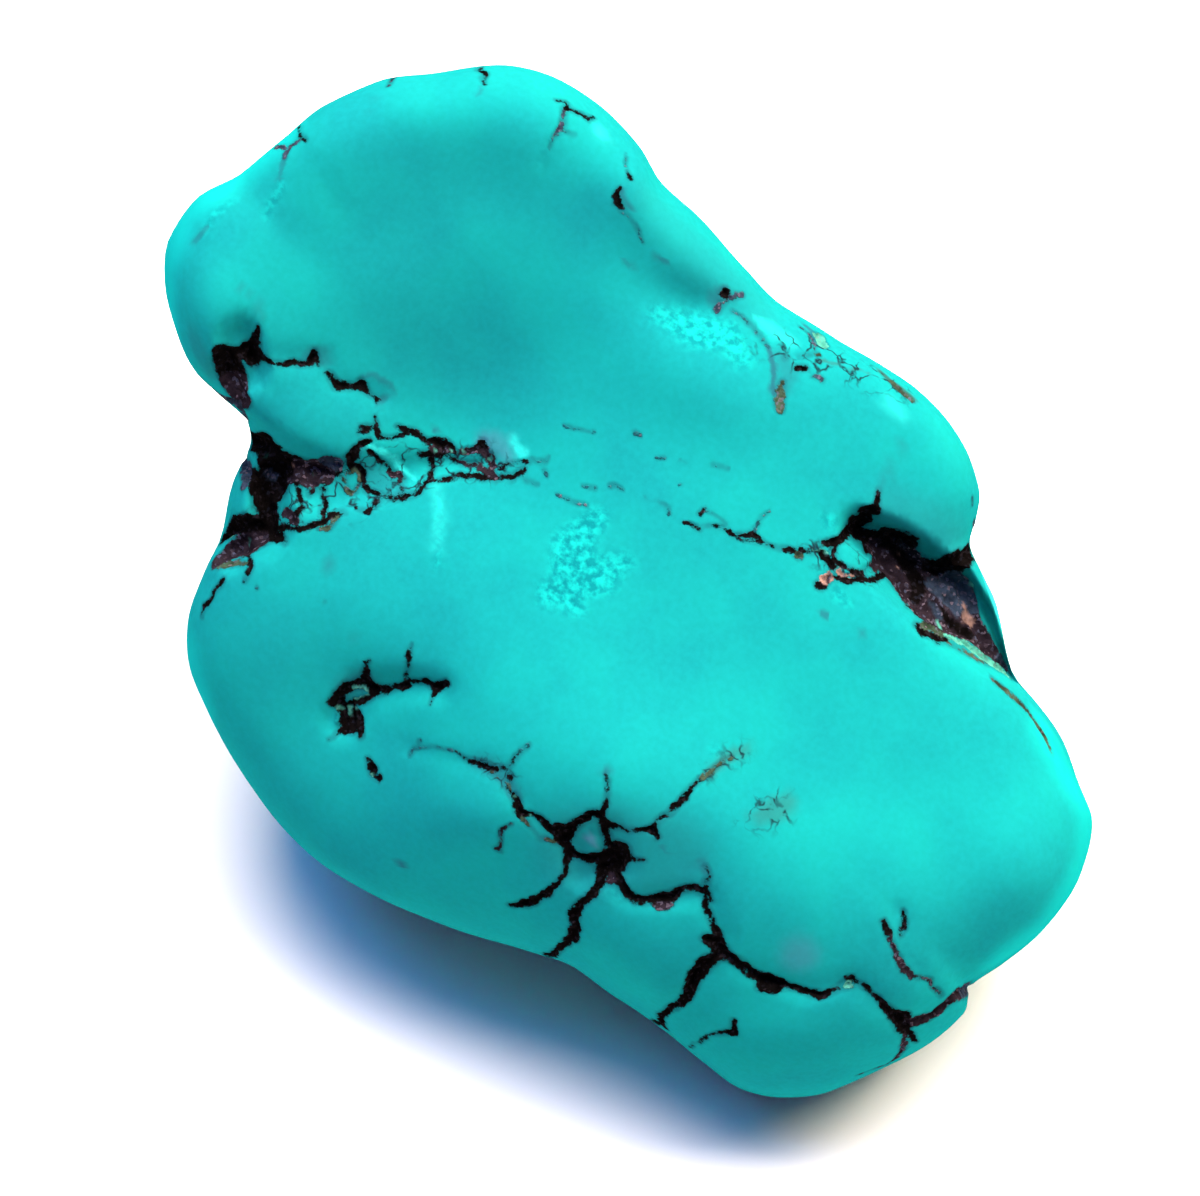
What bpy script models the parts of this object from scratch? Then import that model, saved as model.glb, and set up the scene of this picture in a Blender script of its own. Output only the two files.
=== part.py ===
"""A tumbled turquoise nugget, about 40 mm long, with dark seams of matrix.

The stone is shaped on its broad face. In the face frame u runs to the right, v runs up the face and
w comes out of it, all in millimetres. One direction of a unit sphere stands for each point of the
skin, so the whole stone is one closed, star-shaped solid:

  1. the outline gives how far the skin reaches in u and v,
  2. the front and back domes, with swells and folds, give w,
  3. the pockets and seams are then carved straight in from the face or from the back,
  4. the stone is stood up as it lies on a table, and worn flat where it rests.

Z is up, X is the long way, and the origin is at the bottom centre of the bounding box.
"""

import math

import bmesh
import bpy
import numpy as np
from mathutils import Vector

MM = 0.001

# Overall form, in mm in the face frame.
FRONT_DOME = 6.2
FRONT_WEDGE = -0.13
BACK_DOME = 8.0
FRONT_FULLNESS = 0.50
BACK_FULLNESS = 0.80
LEAN_U = 0.02
LEAN_V = 0.17
TWIST = -0.004

# How the stone lies: the face tilts back this far from upright, and the stone is turned about Z.
FACE_TILT_DEG = 60.0
TURN_DEG = 34.0

# The worn spot that it rests on.
WEAR_DEPTH = 1.9
WEAR_ROUNDING = 0.8

# How a seam is let into the skin. Its wall starts this far outside it, and further for a deep one,
# and its floor is reached a little inside. A seam fades out towards the other side of the stone.
SEAM_SHOULDER = 0.45
WALL_SLOPE = 0.35
WALL_FOOT = 0.3
SIDE_FADE = (-0.15, 0.2)

# Mesh fineness, in mm: the edges wanted, how far a seam's fine band reaches, and how much longer
# than wanted an edge may be.
SKIN_EDGE = 1.45
SEAM_EDGE = 0.42
SEAM_BAND = 0.6
EDGE_EXCESS = 1.35
REFINE_PASSES = 7
EVENING_PASSES = 4

# The widest way round the stone, as seen from the front of the face: (u, v).
OUTLINE = [
    (-3.5, 18.4), (-1.9, 18.1), (0.0, 17.0), (1.4, 15.6), (2.1, 14.4), (3.5, 13.2),
    (4.9, 11.6), (6.3, 10.2), (8.1, 9.1), (9.8, 8.1), (11.2, 7.1), (12.3, 5.9),
    (12.9, 4.8), (13.2, 3.8), (13.1, 2.7), (12.9, 1.9), (13.3, 1.0), (13.8, -0.1),
    (14.1, -1.5), (14.4, -2.6), (15.2, -3.6), (16.1, -4.9), (16.7, -6.4), (17.2, -7.8),
    (17.0, -9.0), (16.5, -10.2), (15.4, -11.6), (14.0, -12.8), (13.0, -13.5), (12.7, -14.5),
    (11.6, -15.5), (9.8, -16.5), (8.1, -17.3), (6.5, -17.5), (4.9, -17.2), (3.5, -16.2),
    (2.3, -15.2), (0.7, -14.1), (-1.4, -12.7), (-3.5, -12.1), (-6.0, -11.3), (-8.4, -10.2),
    (-10.2, -9.0), (-11.7, -7.4), (-12.8, -5.8), (-13.8, -3.9), (-14.4, -2.3), (-14.4, -0.8),
    (-13.9, 0.8), (-13.2, 2.4), (-12.9, 3.8), (-12.2, 5.3), (-12.3, 6.2), (-13.3, 7.1),
    (-14.0, 7.8), (-14.7, 9.2), (-15.1, 11.0), (-14.9, 12.5), (-14.0, 13.8), (-12.3, 14.8),
    (-10.9, 15.9), (-9.5, 17.0), (-7.7, 17.8), (-5.6, 18.1),
]

# Rounded lumps and hollows of the front: (u, v, radius along, radius across, turn in degrees, height).
FRONT_SWELLS = [
    (-5.0, 5.9, 6.2, 5.2, 28, -2.6),
    (-13.8, 9.8, 2.2, 3.2, 0, 1.3),
    (3.6, 7.5, 2.4, 1.7, -20, 0.4),
    (6.4, 7.0, 3.0, 2.0, -30, 0.2),
    (-5.2, 2.4, 1.4, 2.4, 0, 0.2),
    (9.4, 3.2, 3.4, 2.8, -25, -0.4),
    (15.2, -10.0, 2.0, 3.0, 20, 0.8),
    (2.3, 12.4, 2.2, 1.1, -50, 0.3),
    (-8.6, -4.8, 5.0, 6.0, 0, -1.7),
    (6.8, -15.6, 4.0, 1.8, 10, 1.0),
    (1.2, -12.8, 2.6, 1.6, -35, 0.6),
    (-4.4, -7.6, 1.6, 1.2, 0, 0.5),
    (-0.3, -8.8, 2.0, 1.7, 0, -0.5),
    (2.8, -9.4, 1.8, 1.6, 0, -0.35),
    (-8.6, -3.8, 2.2, 2.0, 0, -0.5),
    (-9.8, 5.8, 2.4, 1.4, -5, 0.3),
]

# Long ridges (height above 0) and folds (below 0): radius, then (u, v, height) along each.
FRONT_FOLDS = [
    (2.5, [(-12.2, 13.9, 0.4), (-10.2, 15.9, 1.2), (-7.0, 17.2, 1.4), (-4.2, 17.4, 1.4),
           (-1.2, 16.8, 1.2), (1.0, 15.2, 0.7)]),
    (1.6, [(1.8, 14.6, 0.5), (5.2, 11.3, 0.6), (7.6, 9.4, 0.5), (10.8, 7.8, 0.7), (12.8, 5.2, 0.6)]),
    (0.9, [(1.6, 10.6, -0.1), (3.2, 10.0, -0.5), (4.6, 9.9, -0.3), (6.0, 8.9, 0.0)]),
    (4.6, [(-6.6, -3.6, 0.7), (-4.2, -5.4, 1.5), (0.0, -7.4, 2.2), (5.4, -10.0, 1.7),
           (10.5, -11.7, 1.5), (14.4, -12.4, 1.1)]),
    (1.4, [(-13.0, 4.6, -0.25), (-9.0, 4.0, -0.15), (-6.0, 4.2, -0.1), (-3.6, 4.6, 0.0)]),
    (1.8, [(8.6, 1.8, -0.1), (10.6, 1.0, -0.3), (13.4, -0.6, -0.4)]),
]

# Rounded lumps of the back, in the same form; a height above 0 stands out backwards.
BACK_SWELLS = [
    (-0.5, 3.0, 10.0, 8.0, -30, 7.4),
]


# Pockets and seams where dark matrix has worn lower than the turquoise. Each has a depth and a
# route of (u, v, half width); "front" and "back" say which side of the rim it runs on.
SEAMS = [
    ("front", 1.05, [(-12.4, 8.9, 0.5), (-12.2, 7.9, 0.6), (-13.4, 7.3, 0.6)]),
    ("front", 0.4, [(-11.6, 8.3, 0.2), (-9.6, 8.2, 0.3), (-9.1, 7.5, 0.2), (-7.6, 6.9, 0.2)]),
    ("front", 0.65, [(-12.6, 5.6, 0.7), (-11.2, 4.4, 0.9), (-9.4, 3.9, 0.8), (-7.6, 4.1, 0.6),
                     (-6.0, 4.5, 0.3), (-3.8, 4.7, 0.1)]),
    ("front", 1.2, [(-11.4, 4.0, 0.5), (-11.5, 2.4, 0.4), (-12.6, 1.8, 0.5), (-13.3, 2.6, 0.5)]),
    ("front", 1.85, [(9.0, 2.3, 0.4), (9.9, 1.5, 0.8), (11.2, 0.4, 1.1), (12.3, -0.3, 1.3),
                     (13.3, -1.2, 1.1), (14.1, -2.3, 0.7)]),
    ("front", 0.5, [(14.1, -2.6, 0.2), (15.3, -4.6, 0.2), (16.6, -6.4, 0.1)]),
    ("front", 0.9, [(-8.9, -4.2, 0.3), (-8.1, -3.2, 0.35), (-6.8, -3.0, 0.2), (-5.5, -3.1, 0.1)]),
    ("front", 0.5, [(-8.1, -5.7, 0.2), (-7.8, -6.1, 0.2)]),
    ("front", 0.4, [(-6.6, -5.2, 0.1), (-4.3, -5.7, 0.15), (-3.4, -6.0, 0.2), (-2.0, -7.8, 0.2),
                    (-0.9, -8.3, 0.3)]),
    ("front", 0.9, [(-0.8, -8.4, 0.4), (0.2, -8.1, 0.3), (0.5, -9.1, 0.35), (-0.6, -9.4, 0.3),
                    (-0.8, -8.4, 0.4)]),
    ("front", 0.4, [(0.1, -8.0, 0.2), (0.2, -6.0, 0.1)]),
    ("front", 0.5, [(0.3, -8.3, 0.3), (1.6, -7.8, 0.2), (3.5, -6.0, 0.2), (5.2, -5.3, 0.1)]),
    ("front", 0.5, [(-1.0, -9.0, 0.3), (-1.8, -10.1, 0.2), (-2.9, -10.5, 0.2)]),
    ("front", 0.6, [(0.0, -9.6, 0.3), (-1.1, -11.2, 0.3), (-1.9, -12.6, 0.2)]),
    ("front", 0.5, [(0.3, -9.6, 0.3), (1.0, -10.3, 0.2), (3.7, -10.2, 0.2), (4.2, -11.6, 0.3),
                    (4.2, -12.5, 0.2), (3.0, -13.5, 0.2), (2.1, -14.4, 0.2)]),
    ("front", 0.55, [(4.2, -12.5, 0.2), (7.2, -13.5, 0.2), (8.7, -13.1, 0.2), (9.8, -14.1, 0.3),
                     (10.6, -14.6, 0.5), (12.0, -14.1, 0.5), (13.7, -13.2, 0.4), (15.4, -11.8, 0.3)]),
    ("front", 0.5, [(10.2, -10.8, 0.2), (10.5, -12.2, 0.2), (11.8, -13.7, 0.1)]),
    ("back", 0.9, [(-13.6, 4.4, 0.5), (-9.0, 3.2, 0.3), (-5.0, 4.6, 0.2), (-1.0, 3.4, 0.1)]),
    ("back", 0.9, [(13.6, -1.6, 0.7), (10.4, -1.0, 0.5), (8.0, 0.4, 0.3), (6.6, 3.0, 0.1)]),
    ("back", 0.4, [(-3.4, 13.0, 0.1), (-0.4, 11.2, 0.3), (1.6, 10.4, 0.2), (4.6, 8.2, 0.1)]),
]


def unit_range(value, low, high):
    """0 at low and below, 1 at high and above, and a smooth step between."""
    t = np.clip((value - low) / (high - low), 0.0, 1.0)
    return t * t * (3.0 - 2.0 * t)


class Outline:
    """The outline as a radius about the face's centre: exact at the rim, smoothed inside it."""

    def __init__(self, points, smoothing_deg=22.0):
        angles = [math.atan2(v, u) for u, v in points]
        knots = sorted((a % math.tau, math.hypot(u, v)) for a, (u, v) in zip(angles, points))
        a = np.array([k[0] for k in knots])
        r = np.array([k[1] for k in knots])
        self.angle = np.concatenate([a[-2:] - math.tau, a, a[:2] + math.tau])
        self.radius = np.concatenate([r[-2:], r, r[:2]])
        step = np.diff(self.radius) / np.diff(self.angle)
        before, after = step[:-1], step[1:]
        slope = np.where(before * after > 0, 2 * before * after / (before + after + 1e-12), 0.0)
        self.slope = np.concatenate([[0.0], slope, [0.0]])
        self.smoothing = math.radians(smoothing_deg)

    def rim(self, angle):
        angle = np.mod(angle, math.tau)
        i = np.clip(np.searchsorted(self.angle, angle) - 1, 0, len(self.angle) - 2)
        width = self.angle[i + 1] - self.angle[i]
        t = (angle - self.angle[i]) / width
        return (
            (2 * t**3 - 3 * t**2 + 1) * self.radius[i]
            + (t**3 - 2 * t**2 + t) * width * self.slope[i]
            + (3 * t**2 - 2 * t**3) * self.radius[i + 1]
            + (t**3 - t**2) * width * self.slope[i + 1]
        )

    def inner(self, angle):
        shifts = np.linspace(-1.0, 1.0, 9) * self.smoothing
        weights = np.cos(np.linspace(-1.0, 1.0, 9) * 1.3)
        total = sum(w * self.rim(angle + s) for w, s in zip(weights, shifts))
        return total / weights.sum()


OUTLINE_CURVE = Outline(OUTLINE)


def swell_height(u, v, swells):
    """Sum of the rounded lumps at (u, v)."""
    total = np.zeros_like(u)
    for at_u, at_v, along, across, turn, height in swells:
        c, s = math.cos(math.radians(turn)), math.sin(math.radians(turn))
        du, dv = u - at_u, v - at_v
        x, y = (du * c + dv * s) / along, (dv * c - du * s) / across
        total += height * np.exp(-(x * x + y * y))
    return total


def fold_height(u, v, folds):
    """Sum of the long ridges and folds at (u, v). Each takes the height of its nearest point."""
    total = np.zeros_like(u)
    for radius, route in folds:
        nearest = np.full(u.shape, 1e9)
        height = np.zeros_like(u)
        for (u0, v0, h0), (u1, v1, h1) in zip(route, route[1:]):
            du, dv = u1 - u0, v1 - v0
            t = np.clip(((u - u0) * du + (v - v0) * dv) / (du * du + dv * dv), 0.0, 1.0)
            away = np.hypot(u - u0 - t * du, v - v0 - t * dv)
            closer = away < nearest
            nearest = np.where(closer, away, nearest)
            height = np.where(closer, h0 + t * (h1 - h0), height)
        total += height * np.exp(-((nearest / radius) ** 2))
    return total


def skin(directions):
    """Where each direction of the unit sphere lies on the uncarved stone, in mm in the face frame."""
    a, b, c = directions.T
    reach = np.hypot(a, b)
    angle = np.arctan2(b, a)
    inner = OUTLINE_CURVE.inner(angle)
    radius = inner + (OUTLINE_CURVE.rim(angle) - inner) * reach**4
    u, v = radius * reach * np.cos(angle), radius * reach * np.sin(angle)
    front = (FRONT_DOME + FRONT_WEDGE * v) * np.abs(c) ** FRONT_FULLNESS
    back = -BACK_DOME * np.abs(c) ** BACK_FULLNESS
    facing = unit_range(c, -0.6, 0.6)
    relief = swell_height(u, v, FRONT_SWELLS) + fold_height(u, v, FRONT_FOLDS)
    bulge = swell_height(u, v, BACK_SWELLS)
    w = np.where(c > 0, front, back) + LEAN_U * u + LEAN_V * v + TWIST * u * v
    w += relief * facing - bulge * (1.0 - facing)
    return np.stack([u, v, w], axis=1)


def direction_at(u, v, side):
    """The direction of the unit sphere whose point of the skin lies at (u, v) on the given side."""
    angle, wanted = math.atan2(v, u), math.hypot(u, v)
    rim, inner = float(OUTLINE_CURVE.rim(angle)), float(OUTLINE_CURVE.inner(angle))
    low, high = 0.0, 1.0
    for _ in range(24):
        reach = (low + high) / 2
        if (inner + (rim - inner) * reach**4) * reach < wanted:
            low = reach
        else:
            high = reach
    c = math.sqrt(1.0 - reach * reach)
    return [reach * math.cos(angle), reach * math.sin(angle), c if side == "front" else -c]


def laid_on_skin(side, route):
    """A seam's route as points on the skin about 1 mm apart, with its half widths."""
    stations = []
    for (u0, v0, h0), (u1, v1, h1) in zip(route, route[1:]):
        count = max(1, round(math.hypot(u1 - u0, v1 - v0)))
        for i in range(count + 1):
            t = i / count
            stations.append((u0 + t * (u1 - u0), v0 + t * (v1 - v0), h0 + t * (h1 - h0)))
    directions = np.array([direction_at(u, v, side) for u, v, _ in stations])
    return skin(directions), np.array([h for _, _, h in stations])


def gap_to_route(points, stations, half_widths):
    """How far each point is outside the seam, in mm; below 0 inside it."""
    gap = np.full(len(points), 1e9)
    for i in range(len(stations) - 1):
        start, along = stations[i], stations[i + 1] - stations[i]
        t = np.clip((points - start) @ along / (along @ along + 1e-9), 0.0, 1.0)
        away = np.linalg.norm(points - start - t[:, None] * along, axis=1)
        gap = np.minimum(gap, away - half_widths[i] - t * (half_widths[i + 1] - half_widths[i]))
    return gap


LAID_SEAMS = [(side, depth, *laid_on_skin(side, route)) for side, depth, route in SEAMS]


def seam_gap(points):
    """Distance to the nearest seam, in mm."""
    return np.min([gap_to_route(points, *laid) for _, _, *laid in LAID_SEAMS], axis=0)


def carved(directions):
    """The skin with the pockets and seams let straight into it from their own side."""
    points = skin(directions)
    sunk = np.zeros(len(points))
    for side, seam_depth, *laid in LAID_SEAMS:
        inwards = -1.0 if side == "front" else 1.0
        wall = SEAM_SHOULDER + WALL_SLOPE * seam_depth
        here = seam_depth * unit_range(-gap_to_route(points, *laid), -wall, WALL_FOOT * wall)
        here *= unit_range(-inwards * directions[:, 2], *SIDE_FADE)
        sunk = np.where(here > np.abs(sunk), inwards * here, sunk)
    points[:, 2] += sunk
    return points


def stood_up(points):
    """Face frame to table frame: the face tilts back and the stone turns about Z."""
    tilt, turn = math.radians(FACE_TILT_DEG), math.radians(TURN_DEG)
    u, v, w = points.T
    y = v * math.sin(tilt) - w * math.cos(tilt)
    z = v * math.cos(tilt) + w * math.sin(tilt)
    across = u * math.cos(turn) - y * math.sin(turn)
    away = u * math.sin(turn) + y * math.cos(turn)
    return np.stack([across, away, z], axis=1)


def worn_flat(points):
    """Wears the lowest part of the stone down to a flat spot with a rounded edge."""
    table = points[:, 2].min() + WEAR_DEPTH
    t = (points[:, 2] - table) / WEAR_ROUNDING
    rounded = np.where(t > 1, t, np.where(t < -1, 0.0, ((t + 1) / 2) ** 2))
    points[:, 2] = table + rounded * WEAR_ROUNDING
    return points


def stone_points(directions):
    return worn_flat(stood_up(carved(directions)))


def directions_of(bm):
    d = np.array([v.co for v in bm.verts], float)
    return d / np.linalg.norm(d, axis=1, keepdims=True)


def refined_sphere():
    """A unit sphere whose edges are short enough once they lie on the stone."""
    bm = bmesh.new()
    bmesh.ops.create_icosphere(bm, subdivisions=4, radius=1.0)
    for _ in range(REFINE_PASSES):
        bm.verts.index_update()
        points = skin(directions_of(bm))
        ends = np.array([[e.verts[0].index, e.verts[1].index] for e in bm.edges])
        start, end = points[ends[:, 0]], points[ends[:, 1]]
        allowed = np.where(seam_gap((start + end) / 2) < SEAM_BAND, SEAM_EDGE, SKIN_EDGE)
        too_long = np.linalg.norm(start - end, axis=1) > allowed * EDGE_EXCESS
        if not too_long.any():
            break
        long_edges = [e for e, is_long in zip(bm.edges, too_long) if is_long]
        bmesh.ops.subdivide_edges(bm, edges=long_edges, cuts=1)
        bmesh.ops.triangulate(bm, faces=[f for f in bm.faces if len(f.verts) > 3])
        for vert in bm.verts:
            vert.co.normalize()
    for _ in range(EVENING_PASSES):
        bmesh.ops.smooth_vert(
            bm, verts=bm.verts, factor=0.5, use_axis_x=True, use_axis_y=True, use_axis_z=True
        )
        for vert in bm.verts:
            vert.co.normalize()
    return bm


def turquoise_material():
    material = bpy.data.materials.new("polished_turquoise")
    material.use_nodes = True
    shader = material.node_tree.nodes["Principled BSDF"]
    shader.inputs["Base Color"].default_value = (0.012, 0.55, 0.52, 1.0)
    shader.inputs["Roughness"].default_value = 0.28
    shader.inputs["Metallic"].default_value = 0.0
    return material


def build_nugget():
    bm = refined_sphere()
    points = stone_points(directions_of(bm))
    low, high = points.min(axis=0), points.max(axis=0)
    points -= [(low[0] + high[0]) / 2, (low[1] + high[1]) / 2, low[2]]
    for vert, point in zip(bm.verts, points):
        vert.co = Vector(point * MM)
    mesh = bpy.data.meshes.new("turquoise_nugget")
    bm.to_mesh(mesh)
    bm.free()
    mesh.shade_smooth()
    nugget = bpy.data.objects.new("turquoise_nugget", mesh)
    bpy.context.scene.collection.objects.link(nugget)
    mesh.materials.append(turquoise_material())
    return nugget


for old in list(bpy.data.objects):
    bpy.data.objects.remove(old)
build_nugget()
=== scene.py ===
# %% [markdown]
# # A tumbled turquoise nugget
#
# Turquoise grows as veins and lumps inside a dark host rock. A nugget that has been tumbled keeps
# its natural outline, but its skin is worn round and polished, and the host rock is left as dark
# matrix: in deep pockets, in thin crooked veins and as a few loose-looking crystals. This lesson
# builds that one stone. Its form follows the solid in the frame, value for value, and the lesson
# adds what a solid with few faces can't hold: fine veins, ragged pocket edges, pits and polish.

import math

import bmesh
import bpy
import numpy as np
from mathutils import Matrix, Vector, noise


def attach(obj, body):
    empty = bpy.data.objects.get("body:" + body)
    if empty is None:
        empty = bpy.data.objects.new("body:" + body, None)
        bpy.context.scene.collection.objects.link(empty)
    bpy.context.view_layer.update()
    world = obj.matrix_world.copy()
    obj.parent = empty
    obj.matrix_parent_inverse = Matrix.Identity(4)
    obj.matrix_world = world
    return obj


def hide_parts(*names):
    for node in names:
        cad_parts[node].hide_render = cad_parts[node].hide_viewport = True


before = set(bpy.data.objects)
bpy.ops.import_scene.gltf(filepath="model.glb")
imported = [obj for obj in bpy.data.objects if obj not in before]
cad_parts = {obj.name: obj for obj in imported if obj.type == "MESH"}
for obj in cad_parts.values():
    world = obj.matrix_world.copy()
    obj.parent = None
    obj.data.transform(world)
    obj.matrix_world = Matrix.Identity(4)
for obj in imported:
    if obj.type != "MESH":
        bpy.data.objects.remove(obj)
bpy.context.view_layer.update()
MM = 0.001
print("the frame's nodes:", sorted(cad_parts))


# %% [markdown]
# ## Colours
#
# A colour picker gives sRGB hex values, but a shader counts in linear light. One function turns
# the first into the second, so that every colour below can be read and changed as hex.

# %% Hex colours to linear light
def linear(hex_colour):
    """'#1CC4BE' as linear red, green, blue and an alpha of 1."""
    parts = [int(hex_colour[i:i + 2], 16) / 255 for i in (1, 3, 5)]
    return tuple(p / 12.92 if p <= 0.04045 else ((p + 0.055) / 1.055) ** 2.4 for p in parts) + (1.0,)


print("turquoise in linear light:", [round(c, 3) for c in linear("#1CC4BE")])

# %% [markdown]
# ## The outline
#
# Seen square on to its broad face, the stone is a rounded triangle with a waist on the left and a
# notch on the right, where matrix has worn away. We could draw the outline and inflate it, but a
# function is handier: for each direction of a unit sphere it gives one point of the skin, so the
# stone is closed by construction and can be meshed as finely as we like. Here u runs right, v runs
# up and w comes out of the face, all in millimetres.

# %% The outline as a radius round the face's centre
OUTLINE = [
    (-3.5, 18.4), (-1.9, 18.1), (0.0, 17.0), (1.4, 15.6), (2.1, 14.4), (3.5, 13.2),
    (4.9, 11.6), (6.3, 10.2), (8.1, 9.1), (9.8, 8.1), (11.2, 7.1), (12.3, 5.9),
    (12.9, 4.8), (13.2, 3.8), (13.1, 2.7), (12.9, 1.9), (13.3, 1.0), (13.8, -0.1),
    (14.1, -1.5), (14.4, -2.6), (15.2, -3.6), (16.1, -4.9), (16.7, -6.4), (17.2, -7.8),
    (17.0, -9.0), (16.5, -10.2), (15.4, -11.6), (14.0, -12.8), (13.0, -13.5), (12.7, -14.5),
    (11.6, -15.5), (9.8, -16.5), (8.1, -17.3), (6.5, -17.5), (4.9, -17.2), (3.5, -16.2),
    (2.3, -15.2), (0.7, -14.1), (-1.4, -12.7), (-3.5, -12.1), (-6.0, -11.3), (-8.4, -10.2),
    (-10.2, -9.0), (-11.7, -7.4), (-12.8, -5.8), (-13.8, -3.9), (-14.4, -2.3), (-14.4, -0.8),
    (-13.9, 0.8), (-13.2, 2.4), (-12.9, 3.8), (-12.2, 5.3), (-12.3, 6.2), (-13.3, 7.1),
    (-14.0, 7.8), (-14.7, 9.2), (-15.1, 11.0), (-14.9, 12.5), (-14.0, 13.8), (-12.3, 14.8),
    (-10.9, 15.9), (-9.5, 17.0), (-7.7, 17.8), (-5.6, 18.1),
]


def smooth_step(value, low, high):
    """0 at low and below, 1 at high and above, and a smooth step between."""
    t = np.clip((value - low) / (high - low), 0.0, 1.0)
    return t * t * (3.0 - 2.0 * t)


class Outline:
    """The outline as a radius: exact at the rim, and smoothed for the face inside it."""

    def __init__(self, points, smoothing_deg=22.0):
        angles = [math.atan2(v, u) for u, v in points]
        knots = sorted((a % math.tau, math.hypot(u, v)) for a, (u, v) in zip(angles, points))
        a = np.array([k[0] for k in knots])
        r = np.array([k[1] for k in knots])
        self.angle = np.concatenate([a[-2:] - math.tau, a, a[:2] + math.tau])
        self.radius = np.concatenate([r[-2:], r, r[:2]])
        step = np.diff(self.radius) / np.diff(self.angle)
        before, after = step[:-1], step[1:]
        slope = np.where(before * after > 0, 2 * before * after / (before + after + 1e-12), 0.0)
        self.slope = np.concatenate([[0.0], slope, [0.0]])
        self.smoothing = math.radians(smoothing_deg)

    def rim(self, angle):
        angle = np.mod(angle, math.tau)
        i = np.clip(np.searchsorted(self.angle, angle) - 1, 0, len(self.angle) - 2)
        width = self.angle[i + 1] - self.angle[i]
        t = (angle - self.angle[i]) / width
        return (
            (2 * t**3 - 3 * t**2 + 1) * self.radius[i]
            + (t**3 - 2 * t**2 + t) * width * self.slope[i]
            + (3 * t**2 - 2 * t**3) * self.radius[i + 1]
            + (t**3 - t**2) * width * self.slope[i + 1]
        )

    def inner(self, angle):
        shifts = np.linspace(-1.0, 1.0, 9) * self.smoothing
        weights = np.cos(np.linspace(-1.0, 1.0, 9) * 1.3)
        total = sum(w * self.rim(angle + s) for w, s in zip(weights, shifts))
        return total / weights.sum()


outline = Outline(OUTLINE)
print("the outline has", len(OUTLINE), "points")

# %% [markdown]
# ## Domes, swells and folds
#
# Tumbling rounds a stone but keeps its lumps. The front is a low dome, the back a deeper one that
# the stone lies on. On top of both come rounded swells and long folds: a rim ridge along the top, a
# crest across the lower lobe, the waist on the left and the hollow beside the right pocket. Each is
# one soft bump, so any of them can be moved or left out without touching the rest.

# %% The lumps of the stone
FRONT_DOME, FRONT_WEDGE, FRONT_FULLNESS = 6.2, -0.13, 0.50
BACK_DOME, BACK_FULLNESS = 8.0, 0.80
LEAN_U, LEAN_V, TWIST = 0.02, 0.17, -0.004

# Each swell: (u, v, radius along, radius across, turn in degrees, height).
FRONT_SWELLS = [
    (-5.0, 5.9, 6.2, 5.2, 28, -2.6),
    (-13.8, 9.8, 2.2, 3.2, 0, 1.3),
    (3.6, 7.5, 2.4, 1.7, -20, 0.4),
    (6.4, 7.0, 3.0, 2.0, -30, 0.2),
    (-5.2, 2.4, 1.4, 2.4, 0, 0.2),
    (9.4, 3.2, 3.4, 2.8, -25, -0.4),
    (15.2, -10.0, 2.0, 3.0, 20, 0.8),
    (2.3, 12.4, 2.2, 1.1, -50, 0.3),
    (-8.6, -4.8, 5.0, 6.0, 0, -1.7),
    (6.8, -15.6, 4.0, 1.8, 10, 1.0),
    (1.2, -12.8, 2.6, 1.6, -35, 0.6),
    (-4.4, -7.6, 1.6, 1.2, 0, 0.5),
    (-0.3, -8.8, 2.0, 1.7, 0, -0.5),
    (2.8, -9.4, 1.8, 1.6, 0, -0.35),
    (-8.6, -3.8, 2.2, 2.0, 0, -0.5),
    (-9.8, 5.8, 2.4, 1.4, -5, 0.3),
]
BACK_SWELLS = [(-0.5, 3.0, 10.0, 8.0, -30, 7.4)]

# Each fold: radius, then (u, v, height) along it.
FRONT_FOLDS = [
    (2.5, [(-12.2, 13.9, 0.4), (-10.2, 15.9, 1.2), (-7.0, 17.2, 1.4), (-4.2, 17.4, 1.4),
           (-1.2, 16.8, 1.2), (1.0, 15.2, 0.7)]),
    (1.6, [(1.8, 14.6, 0.5), (5.2, 11.3, 0.6), (7.6, 9.4, 0.5), (10.8, 7.8, 0.7), (12.8, 5.2, 0.6)]),
    (0.9, [(1.6, 10.6, -0.1), (3.2, 10.0, -0.5), (4.6, 9.9, -0.3), (6.0, 8.9, 0.0)]),
    (4.6, [(-6.6, -3.6, 0.7), (-4.2, -5.4, 1.5), (0.0, -7.4, 2.2), (5.4, -10.0, 1.7),
           (10.5, -11.7, 1.5), (14.4, -12.4, 1.1)]),
    (1.4, [(-13.0, 4.6, -0.25), (-9.0, 4.0, -0.15), (-6.0, 4.2, -0.1), (-3.6, 4.6, 0.0)]),
    (1.8, [(8.6, 1.8, -0.1), (10.6, 1.0, -0.3), (13.4, -0.6, -0.4)]),
]


def swell_height(u, v, swells):
    """Sum of the rounded lumps at (u, v)."""
    total = np.zeros_like(u)
    for at_u, at_v, along, across, turn, height in swells:
        c, s = math.cos(math.radians(turn)), math.sin(math.radians(turn))
        du, dv = u - at_u, v - at_v
        x, y = (du * c + dv * s) / along, (dv * c - du * s) / across
        total += height * np.exp(-(x * x + y * y))
    return total


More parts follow.
